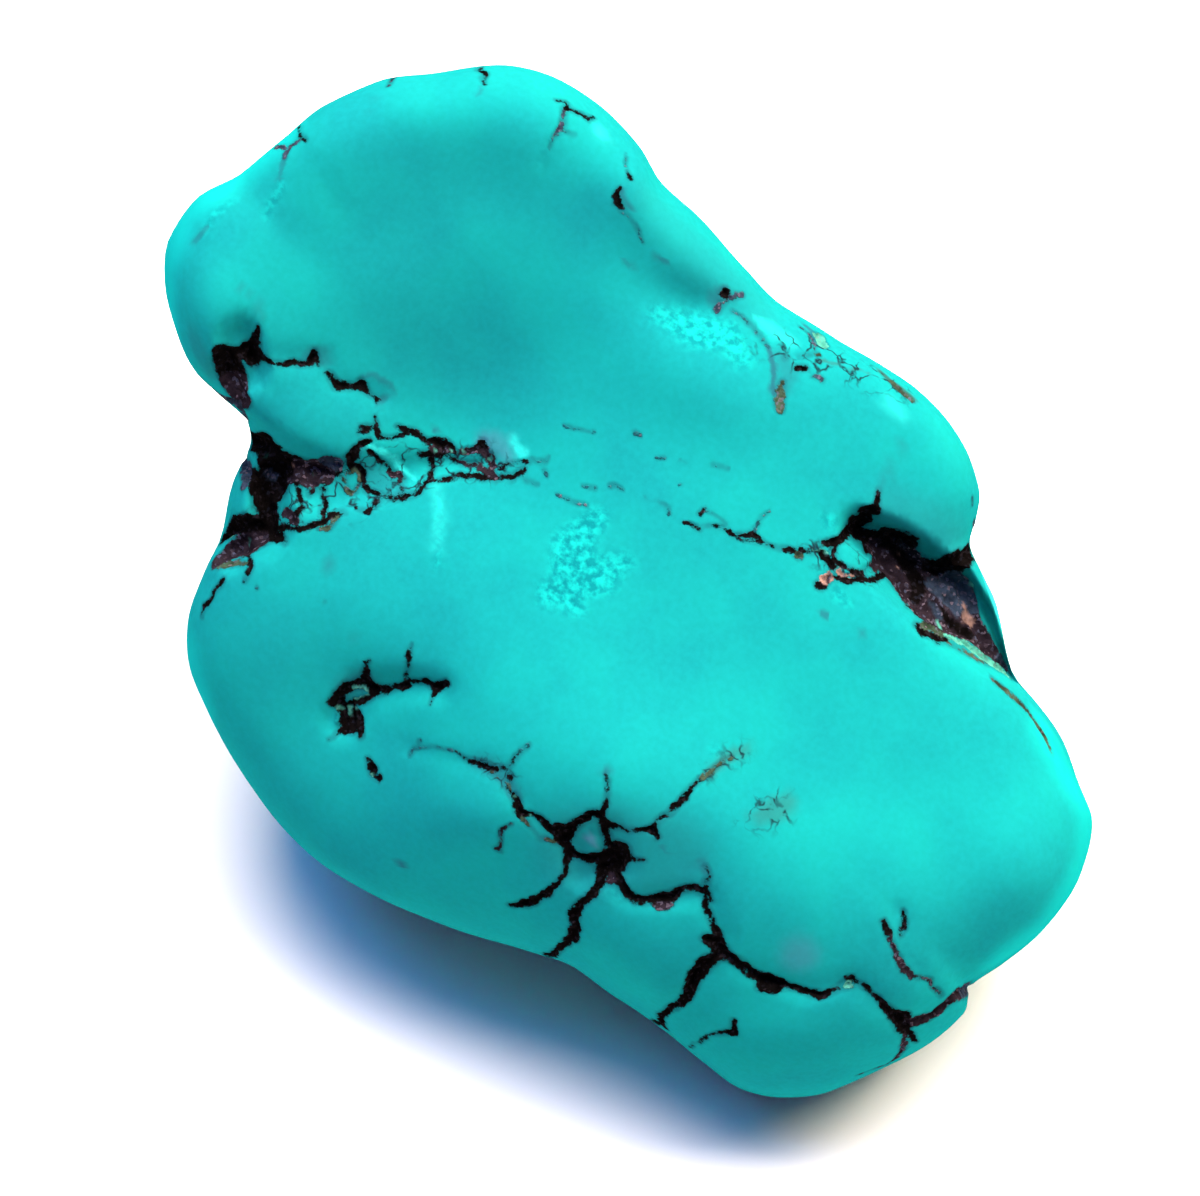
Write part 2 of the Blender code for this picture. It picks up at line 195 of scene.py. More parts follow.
def fold_height(u, v, folds):
    """Sum of the long ridges and folds at (u, v). Each takes the height of its nearest point."""
    total = np.zeros_like(u)
    for radius, route in folds:
        nearest = np.full(u.shape, 1e9)
        height = np.zeros_like(u)
        for (u0, v0, h0), (u1, v1, h1) in zip(route, route[1:]):
            du, dv = u1 - u0, v1 - v0
            t = np.clip(((u - u0) * du + (v - v0) * dv) / (du * du + dv * dv), 0.0, 1.0)
            away = np.hypot(u - u0 - t * du, v - v0 - t * dv)
            closer = away < nearest
            nearest = np.where(closer, away, nearest)
            height = np.where(closer, h0 + t * (h1 - h0), height)
        total += height * np.exp(-((nearest / radius) ** 2))
    return total


print(len(FRONT_SWELLS), "swells and", len(FRONT_FOLDS), "folds on the front")


# %% The polished skin, as a function of the direction
def skin(directions):
    """Where each direction of the unit sphere lies on the uncarved stone, in mm."""
    a, b, c = directions.T
    reach = np.hypot(a, b)
    angle = np.arctan2(b, a)
    inner = outline.inner(angle)
    radius = inner + (outline.rim(angle) - inner) * reach**4
    u, v = radius * reach * np.cos(angle), radius * reach * np.sin(angle)
    front = (FRONT_DOME + FRONT_WEDGE * v) * np.abs(c) ** FRONT_FULLNESS
    back = -BACK_DOME * np.abs(c) ** BACK_FULLNESS
    facing = smooth_step(c, -0.6, 0.6)
    relief = swell_height(u, v, FRONT_SWELLS) + fold_height(u, v, FRONT_FOLDS)
    bulge = swell_height(u, v, BACK_SWELLS)
    w = np.where(c > 0, front, back) + LEAN_U * u + LEAN_V * v + TWIST * u * v
    w += relief * facing - bulge * (1.0 - facing)
    return np.stack([u, v, w], axis=1)


def normals_of(directions, surface, step=0.02):
    """Outward unit normals of a surface that is a function of the direction."""
    side = np.cross(directions, np.where(np.abs(directions[:, :1]) < 0.7, [[1.0, 0, 0]], [[0, 1.0, 0]]))
    side /= np.linalg.norm(side, axis=1, keepdims=True)
    other = np.cross(directions, side)

    def moved(tangent):
        d = directions + step * tangent
        return surface(d / np.linalg.norm(d, axis=1, keepdims=True))

    normal = np.cross(moved(side) - moved(-side), moved(other) - moved(-other))
    return normal / np.linalg.norm(normal, axis=1, keepdims=True)


def direction_at(u, v, side):
    """The direction whose point of the skin lies at (u, v), on the front or the back."""
    angle, wanted = math.atan2(v, u), math.hypot(u, v)
    rim, inner = float(outline.rim(angle)), float(outline.inner(angle))
    low, high = 0.0, 1.0
    for _ in range(24):
        reach = (low + high) / 2
        if (inner + (rim - inner) * reach**4) * reach < wanted:
            low = reach
        else:
            high = reach
    c = math.sqrt(1.0 - reach * reach)
    return [reach * math.cos(angle), reach * math.sin(angle), c if side == "front" else -c]


print("the face stands", round(float(skin(np.array([[0.0, 0.0, 1.0]]))[0, 2]), 2), "mm proud")

# %% [markdown]
# ## Strokes on the skin
#
# Matrix shows as crooked veins, blots and pockets. Painting them by hand would tie them to one
# mesh, and a noise pattern would put them just anywhere. So they are strokes, as with a brush: a
# route over the face with a half width at each stop. A point's gap is its distance outside the
# nearest stroke, below 0 inside. The same gap later cuts the relief, sizes the mesh and colours the
# shader, so the three always agree. The points are first shaken a little by noise, which breaks the
# strokes' edges as real cracks are broken.

# %% Laying strokes on the skin and measuring how far away they are
FAR = 9.0
STATION_SPACING = 0.4


def laid_on_skin(side, route, wider=1.0):
    """A stroke's route as points on the skin close together, with its half widths."""
    stations = []
    stops = route if len(route) > 1 else route * 2
    for (u0, v0, h0), (u1, v1, h1) in zip(stops, stops[1:]):
        count = max(1, round(math.hypot(u1 - u0, v1 - v0) / STATION_SPACING))
        for i in range(count + 1):
            t = i / count
            stations.append((u0 + t * (u1 - u0), v0 + t * (v1 - v0), h0 + t * (h1 - h0)))
    directions = np.array([direction_at(u, v, side) for u, v, _ in stations])
    return skin(directions), np.array([h for _, _, h in stations]) * wider


def gap_to_stroke(points, stations, half_widths, reach=1.6):
    """How far each point is outside the stroke, in mm; below 0 inside it, FAR beyond its reach."""
    gap = np.full(len(points), FAR)
    margin = half_widths.max() + reach
    near = np.all((points > stations.min(axis=0) - margin) & (points < stations.max(axis=0) + margin), axis=1)
    close = points[near]
    nearest = np.full(len(close), FAR)
    for i in range(len(stations) - 1):
        start, along = stations[i], stations[i + 1] - stations[i]
        t = np.clip((close - start) @ along / (along @ along + 1e-9), 0.0, 1.0)
        away = np.linalg.norm(close - start - t[:, None] * along, axis=1)
        nearest = np.minimum(nearest, away - half_widths[i] - t * (half_widths[i + 1] - half_widths[i]))
    gap[near] = nearest
    return gap


# How far noise shakes the strokes, and the size of the shake, both in mm.
SHAKES = [(0.14, 1.1), (0.07, 0.38), (0.03, 0.16)]


def shaken(points):
    """The points moved a little, so that a smooth stroke gets a broken edge."""
    moved = points.copy()
    for amount, size in SHAKES:
        moved += amount * np.array([noise.noise_vector(Vector(p / size)) for p in points])
    return moved


print("a stroke is laid with a station every", STATION_SPACING, "mm")

# %% [markdown]
# ## What was drawn
#
# The hollows are broad dips where the skin rolls down towards a pocket, and they follow the frame's
# solid. The fillings are the matrix itself, each with the colour of what fills it: black goethite,
# brown iron-stained rock, grey slate, olive and tan crystals, and minty flakes of weathered
# turquoise. Islands are scraps of turquoise left standing in the matrix. Stains are hairlines and
# soft clouds in the stone's own colour, and among them is painted light: painted shade in hollows
# and on shoulders, a painted shadow line, painted rim light and painted highlights. Frost is where
# the skin is pitted and dull, and its speckled colour is a painted sparkle.

# %% Broad hollows: side, depth, wall width, route
HOLLOWS = [
    ("front", 0.7, 0.5, [(-12.4, 8.9, 0.5), (-12.2, 7.9, 0.6), (-13.4, 7.3, 0.6)]),
    ("front", 0.12, 0.5, [(-11.6, 8.3, 0.2), (-9.6, 8.2, 0.3), (-9.1, 7.5, 0.2), (-7.6, 6.9, 0.2)]),
    ("front", 0.3, 0.5, [(-12.6, 5.6, 0.7), (-11.2, 4.4, 0.9), (-9.4, 3.9, 0.8), (-7.6, 4.1, 0.6),
                         (-6.0, 4.5, 0.3), (-3.8, 4.7, 0.1)]),
    ("front", 0.9, 0.7, [(-11.4, 4.0, 0.5), (-11.5, 2.4, 0.4), (-12.6, 1.8, 0.5), (-13.3, 2.6, 0.5)]),
    ("front", 1.5, 0.6, [(9.0, 2.3, 0.4), (9.9, 1.5, 0.8), (11.2, 0.4, 1.1), (12.3, -0.3, 1.3),
                         (13.3, -1.2, 1.1), (14.1, -2.3, 0.7)]),
    ("front", 0.3, 0.5, [(14.1, -2.6, 0.2), (15.3, -4.6, 0.2), (16.6, -6.4, 0.1)]),
    ("front", 0.5, 0.7, [(-8.9, -4.2, 0.3), (-8.1, -3.2, 0.35), (-6.8, -3.0, 0.2), (-5.5, -3.1, 0.1)]),
    ("front", 0.12, 0.5, [(-6.6, -5.2, 0.1), (-4.3, -5.7, 0.15), (-3.4, -6.0, 0.2), (-2.0, -7.8, 0.2),
                          (-0.9, -8.3, 0.3)]),
    ("front", 0.5, 0.7, [(-0.8, -8.4, 0.4), (0.2, -8.1, 0.3), (0.5, -9.1, 0.35), (-0.6, -9.4, 0.3),
                         (-0.8, -8.4, 0.4)]),
    ("front", 0.2, 0.5, [(0.3, -9.6, 0.3), (1.0, -10.3, 0.2), (3.7, -10.2, 0.2), (4.2, -11.6, 0.3),
                         (4.2, -12.5, 0.2), (3.0, -13.5, 0.2), (2.1, -14.4, 0.2)]),
    ("front", 0.2, 0.5, [(4.2, -12.5, 0.2), (7.2, -13.5, 0.2), (8.7, -13.1, 0.2), (9.8, -14.1, 0.3),
                         (10.6, -14.6, 0.5), (12.0, -14.1, 0.5), (13.7, -13.2, 0.4), (15.4, -11.8, 0.3)]),
    ("front", 0.1, 0.5, [(10.2, -10.8, 0.2), (10.5, -12.2, 0.2), (11.8, -13.7, 0.1)]),
    ("back", 0.7, 0.8, [(-13.6, 4.4, 0.5), (-9.0, 3.2, 0.3), (-5.0, 4.6, 0.2), (-1.0, 3.4, 0.1)]),
    ("back", 0.7, 0.8, [(13.6, -1.6, 0.7), (10.4, -1.0, 0.5), (8.0, 0.4, 0.3), (6.6, 3.0, 0.1)]),
    ("back", 0.2, 0.5, [(-3.4, 13.0, 0.1), (-0.4, 11.2, 0.3), (1.6, 10.4, 0.2), (4.6, 8.2, 0.1)]),
]
print(len(HOLLOWS), "hollows")

# %% Fillings: what fills it, then the route
FRONT_FILLINGS = [
    # The pocket on the left shoulder, and the vein that leaves it.
    ("black", [(-13.0, 8.5, 0.2), (-12.4, 8.45, 0.2), (-12.0, 8.8, 0.15), (-11.95, 9.05, 0.05)]),
    ("black", [(-11.9, 8.7, 0.2), (-11.9, 8.3, 0.28)]),
    ("black", [(-12.85, 8.35, 0.34), (-12.8, 7.95, 0.42), (-12.75, 7.6, 0.4)]),
    ("brown", [(-12.7, 7.5, 0.42), (-12.6, 7.1, 0.36), (-12.45, 6.8, 0.3)]),
    ("black", [(-12.0, 8.75, 0.18), (-11.8, 9.1, 0.1), (-11.75, 9.3, 0.04)]),
    ("slate", [(-13.5, 7.3, 0.1), (-13.1, 6.95, 0.16), (-12.6, 6.75, 0.2), (-12.35, 6.4, 0.12),
               (-12.3, 6.0, 0.1), (-12.2, 5.6, 0.18)]),
    ("black", [(-11.6, 8.3, 0.07), (-11.2, 8.13, 0.06), (-10.6, 8.1, 0.05), (-10.0, 8.05, 0.06)]),
    ("black", [(-9.95, 8.12, 0.12), (-9.8, 8.38, 0.13), (-9.6, 8.1, 0.05)]),
    ("black", [(-9.35, 7.75, 0.04), (-9.25, 7.55, 0.06), (-9.0, 7.3, 0.08), (-8.6, 7.3, 0.06),
               (-8.35, 7.35, 0.11), (-8.2, 7.2, 0.06), (-8.0, 7.05, 0.04), (-7.7, 6.88, 0.06),
               (-7.4, 6.95, 0.02)]),
    # The cavity at the waist.
    ("black", [(-12.1, 5.5, 0.24), (-11.6, 5.1, 0.5), (-11.3, 4.5, 0.6), (-11.4, 3.8, 0.46)]),
    ("slate", [(-12.5, 5.1, 0.15), (-12.3, 4.5, 0.22), (-12.35, 3.9, 0.15)]),
    ("black", [(-12.1, 4.2, 0.2), (-11.8, 3.7, 0.3), (-11.5, 3.0, 0.3), (-11.5, 2.4, 0.32)]),
    ("black", [(-11.2, 4.7, 0.4), (-10.7, 4.5, 0.36)]),
    ("brown", [(-10.6, 4.5, 0.34), (-10.0, 4.4, 0.38), (-9.5, 4.35, 0.28)]),
    ("black", [(-11.3, 5.1, 0.1), (-10.9, 4.98, 0.08), (-10.4, 4.86, 0.07), (-9.9, 4.7, 0.06),
               (-9.6, 4.5, 0.08)]),
    ("slate", [(-9.5, 4.7, 0.2), (-9.1, 4.66, 0.18)]),
    ("black", [(-9.6, 4.02, 0.05), (-9.3, 4.2, 0.06), (-9.0, 4.36, 0.06), (-8.7, 4.5, 0.07)]),
    ("black", [(-11.6, 2.5, 0.3), (-12.3, 2.6, 0.28), (-12.8, 2.45, 0.26), (-13.15, 2.1, 0.2)]),
    ("brown", [(-11.7, 2.2, 0.26), (-12.3, 1.9, 0.38), (-12.9, 1.55, 0.3), (-13.4, 1.25, 0.16)]),
    ("black", [(-11.6, 2.25, 0.16), (-11.1, 2.15, 0.1), (-10.95, 1.95, 0.03)]),
    ("black", [(-12.15, 1.6, 0.05), (-12.1, 1.1, 0.06), (-12.3, 0.5, 0.02)]),
    ("olive", [(-13.2, 1.1, 0.08), (-12.7, 1.1, 0.08), (-12.3, 1.2, 0.03)]),
    ("black", [(-13.0, 0.55, 0.03), (-13.35, 0.25, 0.06), (-13.5, -0.1, 0.04), (-13.75, -0.35, 0.06),
               (-13.85, -0.7, 0.02)]),
    # The broken turquoise below it.
    ("brown", [(-10.75, 4.1, 0.12), (-10.3, 4.05, 0.14), (-9.85, 3.95, 0.12)]),
    ("black", [(-10.5, 4.0, 0.06), (-10.42, 3.6, 0.05), (-10.3, 3.3, 0.05), (-10.42, 3.0, 0.06),
               (-10.5, 2.7, 0.05)]),
    ("brown", [(-10.8, 2.85, 0.12), (-10.55, 2.65, 0.14)]),
    ("black", [(-9.55, 4.0, 0.04), (-9.5, 3.6, 0.05), (-9.45, 3.2, 0.05), (-9.6, 3.1, 0.06),
               (-9.55, 2.85, 0.04)]),
    ("black", [(-9.8, 3.85, 0.05), (-10.05, 3.62, 0.04)]),
    ("black", [(-11.1, 2.42, 0.08), (-10.7, 2.36, 0.05), (-10.2, 2.45, 0.07), (-9.9, 2.6, 0.06),
               (-9.5, 2.72, 0.11), (-9.2, 2.85, 0.08), (-8.85, 2.97, 0.02)]),
    ("olive", [(-9.7, 2.42, 0.04), (-9.35, 2.46, 0.06), (-9.05, 2.78, 0.03)]),
    ("olive", [(-8.95, 4.2, 0.06), (-8.8, 3.9, 0.05), (-8.6, 3.7, 0.06), (-8.4, 3.75, 0.05),
               (-8.27, 4.0, 0.05), (-8.3, 4.3, 0.05), (-8.5, 4.5, 0.05), (-8.8, 4.32, 0.05)]),
    # The outlined plate, and the veins round it.
    ("black", [(-7.95, 5.5, 0.03), (-8.2, 5.4, 0.09), (-8.45, 5.15, 0.13), (-8.62, 4.9, 0.16),
               (-8.68, 4.65, 0.1)]),
    ("black", [(-8.65, 4.6, 0.1), (-8.35, 4.55, 0.07), (-8.2, 4.25, 0.1), (-8.13, 3.95, 0.08)]),
    ("black", [(-8.35, 5.8, 0.05), (-8.1, 5.86, 0.05), (-7.8, 5.98, 0.03)]),
    ("black", [(-7.72, 6.3, 0.02), (-7.7, 5.85, 0.06), (-7.6, 5.62, 0.04), (-7.2, 5.55, 0.04),
               (-6.8, 5.6, 0.04), (-6.55, 5.72, 0.06)]),
    ("black", [(-7.0, 5.98, 0.02), (-6.6, 5.76, 0.06), (-6.3, 5.65, 0.05), (-6.0, 5.45, 0.06),
               (-5.8, 5.33, 0.08)]),
    ("black", [(-5.8, 5.36, 0.08), (-5.5, 5.3, 0.13), (-5.2, 5.24, 0.12), (-5.0, 5.02, 0.07)]),
    ("brown", [(-5.75, 5.15, 0.08), (-5.4, 5.1, 0.1), (-5.1, 5.06, 0.08)]),
    ("black", [(-6.15, 5.0, 0.03), (-5.5, 4.95, 0.05), (-5.0, 4.86, 0.06)]),
    ("brown", [(-4.95, 5.02, 0.06), (-4.6, 5.06, 0.08), (-4.25, 5.1, 0.1), (-3.95, 5.12, 0.12)]),
    ("black", [(-4.05, 5.38, 0.09), (-3.95, 5.12, 0.12)]),
    ("brown", [(-3.95, 5.1, 0.1), (-3.8, 4.8, 0.13), (-3.72, 4.55, 0.08), (-3.88, 4.32, 0.11),
               (-3.6, 4.15, 0.1)]),
    ("black", [(-5.76, 4.9, 0.05), (-5.78, 4.5, 0.05), (-5.86, 4.15, 0.04)]),
    ("brown", [(-4.9, 4.76, 0.03), (-4.5, 4.6, 0.05), (-4.2, 4.54, 0.04), (-3.9, 4.4, 0.06)]),
    ("black", [(-6.05, 4.1, 0.05), (-5.6, 4.05, 0.04), (-5.2, 4.15, 0.05), (-4.8, 4.26, 0.06),
               (-4.4, 4.2, 0.04), (-4.0, 4.16, 0.07), (-3.5, 4.15, 0.06), (-3.1, 4.15, 0.05),
               (-2.85, 4.25, 0.08), (-2.62, 4.36, 0.05)]),
    ("black", [(-3.5, 4.45, 0.03), (-3.2, 4.65, 0.05), (-2.9, 4.66, 0.04), (-2.52, 4.6, 0.06)]),
    ("brown", [(-7.2, 4.32, 0.07), (-6.95, 4.34, 0.08), (-6.82, 4.15, 0.1), (-7.0, 3.98, 0.05)]),
    ("black", [(-7.95, 5.1, 0.05), (-7.6, 4.8, 0.05), (-7.35, 4.6, 0.04), (-7.15, 4.4, 0.06)]),
    ("black", [(-8.13, 3.95, 0.07), (-7.95, 3.72, 0.06), (-7.6, 3.56, 0.06), (-7.2, 3.42, 0.05),
               (-6.8, 3.5, 0.06), (-6.4, 3.6, 0.06), (-6.2, 3.8, 0.06), (-6.02, 4.05, 0.05)]),
    ("black", [(-6.92, 3.95, 0.06), (-6.85, 3.65, 0.06), (-7.15, 3.45, 0.06)]),
    ("black", [(-8.4, 3.12, 0.02), (-8.1, 3.0, 0.04), (-7.9, 3.05, 0.05), (-7.62, 3.3, 0.04),
               (-7.45, 3.5, 0.03)]),
    # The crooked vein across the middle.
    ("black", [(2.9, 2.55, 0.012), (3.1, 2.52, 0.025), (3.4, 2.36, 0.056)]),
    ("black", [(3.7, 2.45, 0.012), (4.2, 2.42, 0.031), (4.42, 2.28, 0.031), (4.55, 2.12, 0.037),
               (4.9, 2.14, 0.019), (5.2, 2.2, 0.05)]),
    ("black", [(4.55, 2.15, 0.019), (4.75, 1.98, 0.025), (5.1, 1.95, 0.025), (5.6, 1.92, 0.019)]),
    ("black", [(5.2, 2.2, 0.05), (5.5, 2.06, 0.031), (5.9, 1.8, 0.025), (6.3, 1.72, 0.031),
               (6.6, 1.66, 0.037), (6.72, 1.58, 0.081)]),
    ("black", [(3.52, 2.9, 0.037), (3.68, 3.06, 0.025)]),
    ("olive", [(6.9, 1.4, 0.1)]),
    ("black", [(6.95, 1.6, 0.03), (7.3, 1.5, 0.05), (7.55, 1.55, 0.05)]),
    # The deep pocket on the right.
    ("black", [(7.62, 1.85, 0.08), (7.9, 1.9, 0.13), (8.2, 1.98, 0.11), (8.5, 2.3, 0.16),
               (8.75, 2.6, 0.2), (9.15, 2.8, 0.24), (9.05, 3.05, 0.14), (9.5, 3.1, 0.16)]),
    ("black", [(9.55, 3.3, 0.08), (9.62, 3.75, 0.02)]),
    ("black", [(8.8, 2.3, 0.18), (9.3, 2.12, 0.16), (9.8, 2.15, 0.18), (10.3, 2.05, 0.2),
               (10.85, 1.95, 0.16)]),
    ("black", [(9.15, 2.0, 0.08), (9.2, 1.7, 0.05)]),
    ("brown", [(9.6, 1.9, 0.3), (10.2, 1.4, 0.6), (10.9, 0.7, 0.72), (11.6, 0.0, 0.8), (12.2, -0.5, 0.75),
               (12.9, -0.9, 0.55), (13.5, -1.6, 0.36), (14.1, -2.4, 0.2)]),
    ("brown", [(9.65, 1.3, 0.22), (9.5, 1.05, 0.1), (9.3, 1.2, 0.03)]),
    ("black", [(11.2, 1.2, 0.2), (11.8, 0.95, 0.3), (12.4, 1.25, 0.3), (12.9, 1.6, 0.22)]),
    ("slate", [(12.3, 0.5, 0.5), (12.7, 0.2, 0.45), (12.9, -0.4, 0.4)]),
    ("olive", [(11.2, -0.95, 0.1), (11.8, -1.2, 0.12)]),
    ("black", [(8.15, 1.95, 0.06), (8.0, 1.6, 0.05), (8.1, 1.2, 0.05), (8.5, 0.95, 0.06), (9.0, 0.85, 0.08)]),
    ("black", [(10.95, -0.95, 0.06), (11.25, -1.2, 0.12), (11.6, -1.42, 0.1), (12.0, -1.5, 0.05)]),
    ("mint", [(11.9, -1.25, 0.06), (12.6, -1.56, 0.09), (13.3, -1.98, 0.11), (13.9, -2.46, 0.1),
              (14.25, -2.8, 0.06)]),
    ("olive", [(12.0, -1.55, 0.03), (12.6, -1.87, 0.05), (13.1, -2.15, 0.04), (13.5, -2.3, 0.02)]),
    ("slate", [(13.5, -1.6, 0.16), (13.9, -2.05, 0.18), (14.25, -2.5, 0.14)]),
    ("olive", [(13.6, -2.8, 0.05), (13.9, -3.02, 0.08), (14.2, -3.3, 0.06), (14.7, -3.8, 0.06),
               (15.1, -4.3, 0.08), (15.4, -4.8, 0.05), (15.7, -5.4, 0.02)]),
    ("slate", [(12.95, 2.6, 0.06), (12.95, 1.9, 0.12)]),
    ("tan", [(7.75, 0.6, 0.13), (7.95, 0.72, 0.11)]),
    ("tan", [(8.2, 0.88, 0.07), (8.6, 0.78, 0.05)]),
    ("black", [(8.1, 0.72, 0.07), (8.5, 0.62, 0.1), (8.9, 0.66, 0.06), (9.4, 0.64, 0.1),
               (9.75, 0.8, 0.1), (10.05, 1.0, 0.12)]),
    ("black", [(7.48, 0.45, 0.07), (7.7, 0.4, 0.06)]),
    ("black", [(8.05, 1.0, 0.08), (7.9, 1.25, 0.08), (7.75, 1.4, 0.1), (7.5, 1.5, 0.08)]),
    # The pit at the left, its spikes, and the small pit below it.
    ("black", [(-9.3, -3.6, 0.08), (-9.1, -3.35, 0.14), (-8.8, -3.12, 0.15), (-8.4, -3.02, 0.12),
               (-8.1, -3.02, 0.18), (-7.85, -3.2, 0.17)]),
    ("black", [(-8.08, -3.0, 0.15), (-8.08, -2.6, 0.09), (-8.05, -2.25, 0.03), (-7.9, -2.08, 0.015)]),
    ("black", [(-7.85, -3.18, 0.15), (-7.55, -3.2, 0.12), (-7.2, -3.15, 0.1), (-6.9, -3.08, 0.1),
               (-6.7, -2.95, 0.12), (-6.6, -2.8, 0.05), (-6.3, -2.83, 0.04), (-6.0, -2.86, 0.05),
               (-5.8, -3.02, 0.07), (-5.55, -3.1, 0.12), (-5.28, -2.97, 0.1)]),
    ("black", [(-5.65, -3.18, 0.08), (-5.82, -3.38, 0.06), (-5.9, -3.62, 0.02)]),
    ("black", [(-6.7, -2.9, 0.06), (-6.7, -2.5, 0.04), (-6.6, -2.1, 0.04), (-6.5, -1.55, 0.01)]),
    ("black", [(-9.0, -3.5, 0.16), (-8.9, -4.0, 0.2), (-8.85, -4.45, 0.16)]),
    ("black", [(-8.62, -3.75, 0.16), (-8.62, -4.45, 0.18)]),
    ("black", [(-8.38, -4.0, 0.1), (-8.34, -4.4, 0.12), (-8.3, -4.78, 0.08)]),
    ("black", [(-8.45, -3.6, 0.1), (-8.2, -3.55, 0.09), (-7.98, -3.4, 0.08)]),
    ("black", [(-9.1, -4.58, 0.06), (-9.32, -4.88, 0.02)]),
    ("black", [(-8.02, -5.6, 0.09), (-7.85, -5.85, 0.13), (-7.88, -6.1, 0.05), (-7.65, -6.15, 0.09)]),
    ("slate", [(-13.75, -4.0, 0.03), (-13.4, -4.7, 0.07), (-13.1, -5.3, 0.03)]),
    # The vein from the left to the star.
    ("black", [(-5.0, -5.36, 0.015), (-4.6, -5.58, 0.04), (-4.3, -5.58, 0.04), (-4.1, -5.7, 0.07),
               (-3.75, -5.8, 0.05), (-3.4, -5.82, 0.05), (-3.12, -5.78, 0.07)]),
    ("black", [(-3.12, -5.78, 0.06), (-2.95, -5.5, 0.04), (-2.7, -5.22, 0.02)]),
    ("olive", [(-3.7, -5.95, 0.03), (-3.4, -6.12, 0.05), (-3.1, -6.3, 0.05), (-3.02, -6.6, 0.04)]),
    ("black", [(-3.14, -5.8, 0.03), (-3.0, -6.05, 0.05), (-3.18, -6.3, 0.03), (-3.0, -6.65, 0.05)]),
    ("black", [(-2.9, -6.7, 0.08), (-2.78, -7.05, 0.13), (-2.7, -7.38, 0.14), (-2.3, -7.42, 0.07),
               (-2.05, -7.62, 0.08), (-1.85, -7.85, 0.1), (-1.65, -8.02, 0.1)]),
    ("olive", [(-2.65, -7.5, 0.03), (-2.4, -7.88, 0.03), (-2.1, -8.2, 0.03), (-1.8, -8.3, 0.03),
               (-1.5, -8.42, 0.04)]),
    ("brown", [(-3.1, -7.75, 0.02), (-3.42, -7.88, 0.06), (-3.46, -8.2, 0.04), (-3.55, -8.65, 0.08)]),
    # The star: a ring of matrix with veins running out of it.
    ("black", [(-1.42, -8.05, 0.24), (-1.28, -8.28, 0.25), (-1.15, -8.0, 0.18), (-0.9, -7.8, 0.13),
               (-0.6, -7.6, 0.12), (-0.3, -7.45, 0.12), (0.05, -7.5, 0.14)]),
    ("black", [(0.05, -7.5, 0.12), (0.2, -7.8, 0.12), (0.24, -8.1, 0.1), (0.3, -8.42, 0.13)]),
    ("black", [(0.35, -8.45, 0.14), (0.62, -8.58, 0.27), (0.72, -8.85, 0.25), (0.5, -9.1, 0.3),
               (0.15, -9.3, 0.26)]),
    ("black", [(0.4, -8.85, 0.3), (0.0, -8.9, 0.2), (-0.4, -8.92, 0.13), (-0.85, -8.85, 0.12),
               (-1.02, -8.6, 0.1)]),
    ("black", [(-1.08, -8.45, 0.13), (-1.0, -8.9, 0.12), (-1.1, -9.3, 0.07), (-1.2, -9.55, 0.05),
               (-1.5, -9.9, 0.06), (-1.72, -10.08, 0.09), (-2.1, -10.35, 0.09), (-2.6, -10.5, 0.18),
               (-3.1, -10.56, 0.04)]),
    ("black", [(0.15, -9.3, 0.2), (0.08, -9.75, 0.12), (-0.2, -10.05, 0.1), (-0.5, -10.4, 0.1),
               (-0.85, -10.75, 0.13), (-0.95, -10.95, 0.16), (-0.85, -11.3, 0.14), (-0.92, -11.7, 0.16),
               (-1.2, -12.02, 0.09), (-1.6, -12.2, 0.09), (-1.75, -12.4, 0.13), (-1.65, -12.85, 0.07)]),
    ("brown", [(0.35, -9.5, 0.14), (0.45, -9.75, 0.12)]),
    ("black", [(0.5, -9.4, 0.1), (0.7, -9.8, 0.13), (0.9, -10.1, 0.13), (1.2, -10.35, 0.1),
               (1.5, -10.42, 0.08), (1.8, -10.38, 0.14), (2.1, -10.36, 0.18), (2.45, -10.28, 0.16),
               (2.8, -10.02, 0.08), (3.2, -9.97, 0.08), (3.5, -10.1, 0.11), (3.7, -10.3, 0.08)]),
    ("brown", [(1.9, -10.55, 0.1), (2.4, -10.55, 0.08)]),
    ("black", [(3.5, -10.02, 0.06), (3.6, -9.65, 0.06), (3.74, -9.42, 0.05), (3.62, -9.15, 0.04)]),
    ("black", [(0.3, -7.78, 0.08), (0.8, -7.84, 0.05), (1.3, -7.86, 0.05), (1.6, -7.82, 0.1),
               (1.8, -7.85, 0.14), (1.97, -8.18, 0.03)]),
    ("black", [(1.85, -7.72, 0.07), (2.3, -7.4, 0.06), (2.6, -7.08, 0.06), (2.85, -6.82, 0.09),
               (3.1, -6.52, 0.05), (3.4, -6.2, 0.04)]),
    ("black", [(0.85, -8.88, 0.1), (1.15, -8.98, 0.04), (1.55, -9.0, 0.01)]),
    ("black", [(0.15, -7.4, 0.07), (0.2, -6.85, 0.05), (0.25, -6.35, 0.06), (0.2, -5.95, 0.03)]),
    ("olive", [(3.4, -6.2, 0.03), (3.7, -5.95, 0.05), (4.1, -5.62, 0.05), (4.5, -5.45, 0.03)]),
    # The seam along the bottom, and what branches off it.
    ("black", [(3.5, -10.25, 0.07), (3.68, -10.7, 0.06), (3.9, -11.2, 0.07), (4.15, -11.7, 0.09),
               (4.3, -12.15, 0.16)]),
    ("black", [(3.65, -11.65, 0.13), (3.9, -11.75, 0.2), (4.15, -12.05, 0.25)]),
    ("black", [(4.3, -12.2, 0.18), (3.95, -12.35, 0.17), (3.55, -12.65, 0.22), (3.3, -13.05, 0.26),
               (3.2, -13.4, 0.2), (2.95, -13.75, 0.13), (2.6, -14.02, 0.09), (2.3, -14.22, 0.08),
               (2.08, -14.42, 0.1), (2.1, -14.72, 0.1), (2.3, -15.0, 0.07)]),
    ("black", [(2.05, -14.8, 0.12), (1.6, -14.82, 0.05)]),
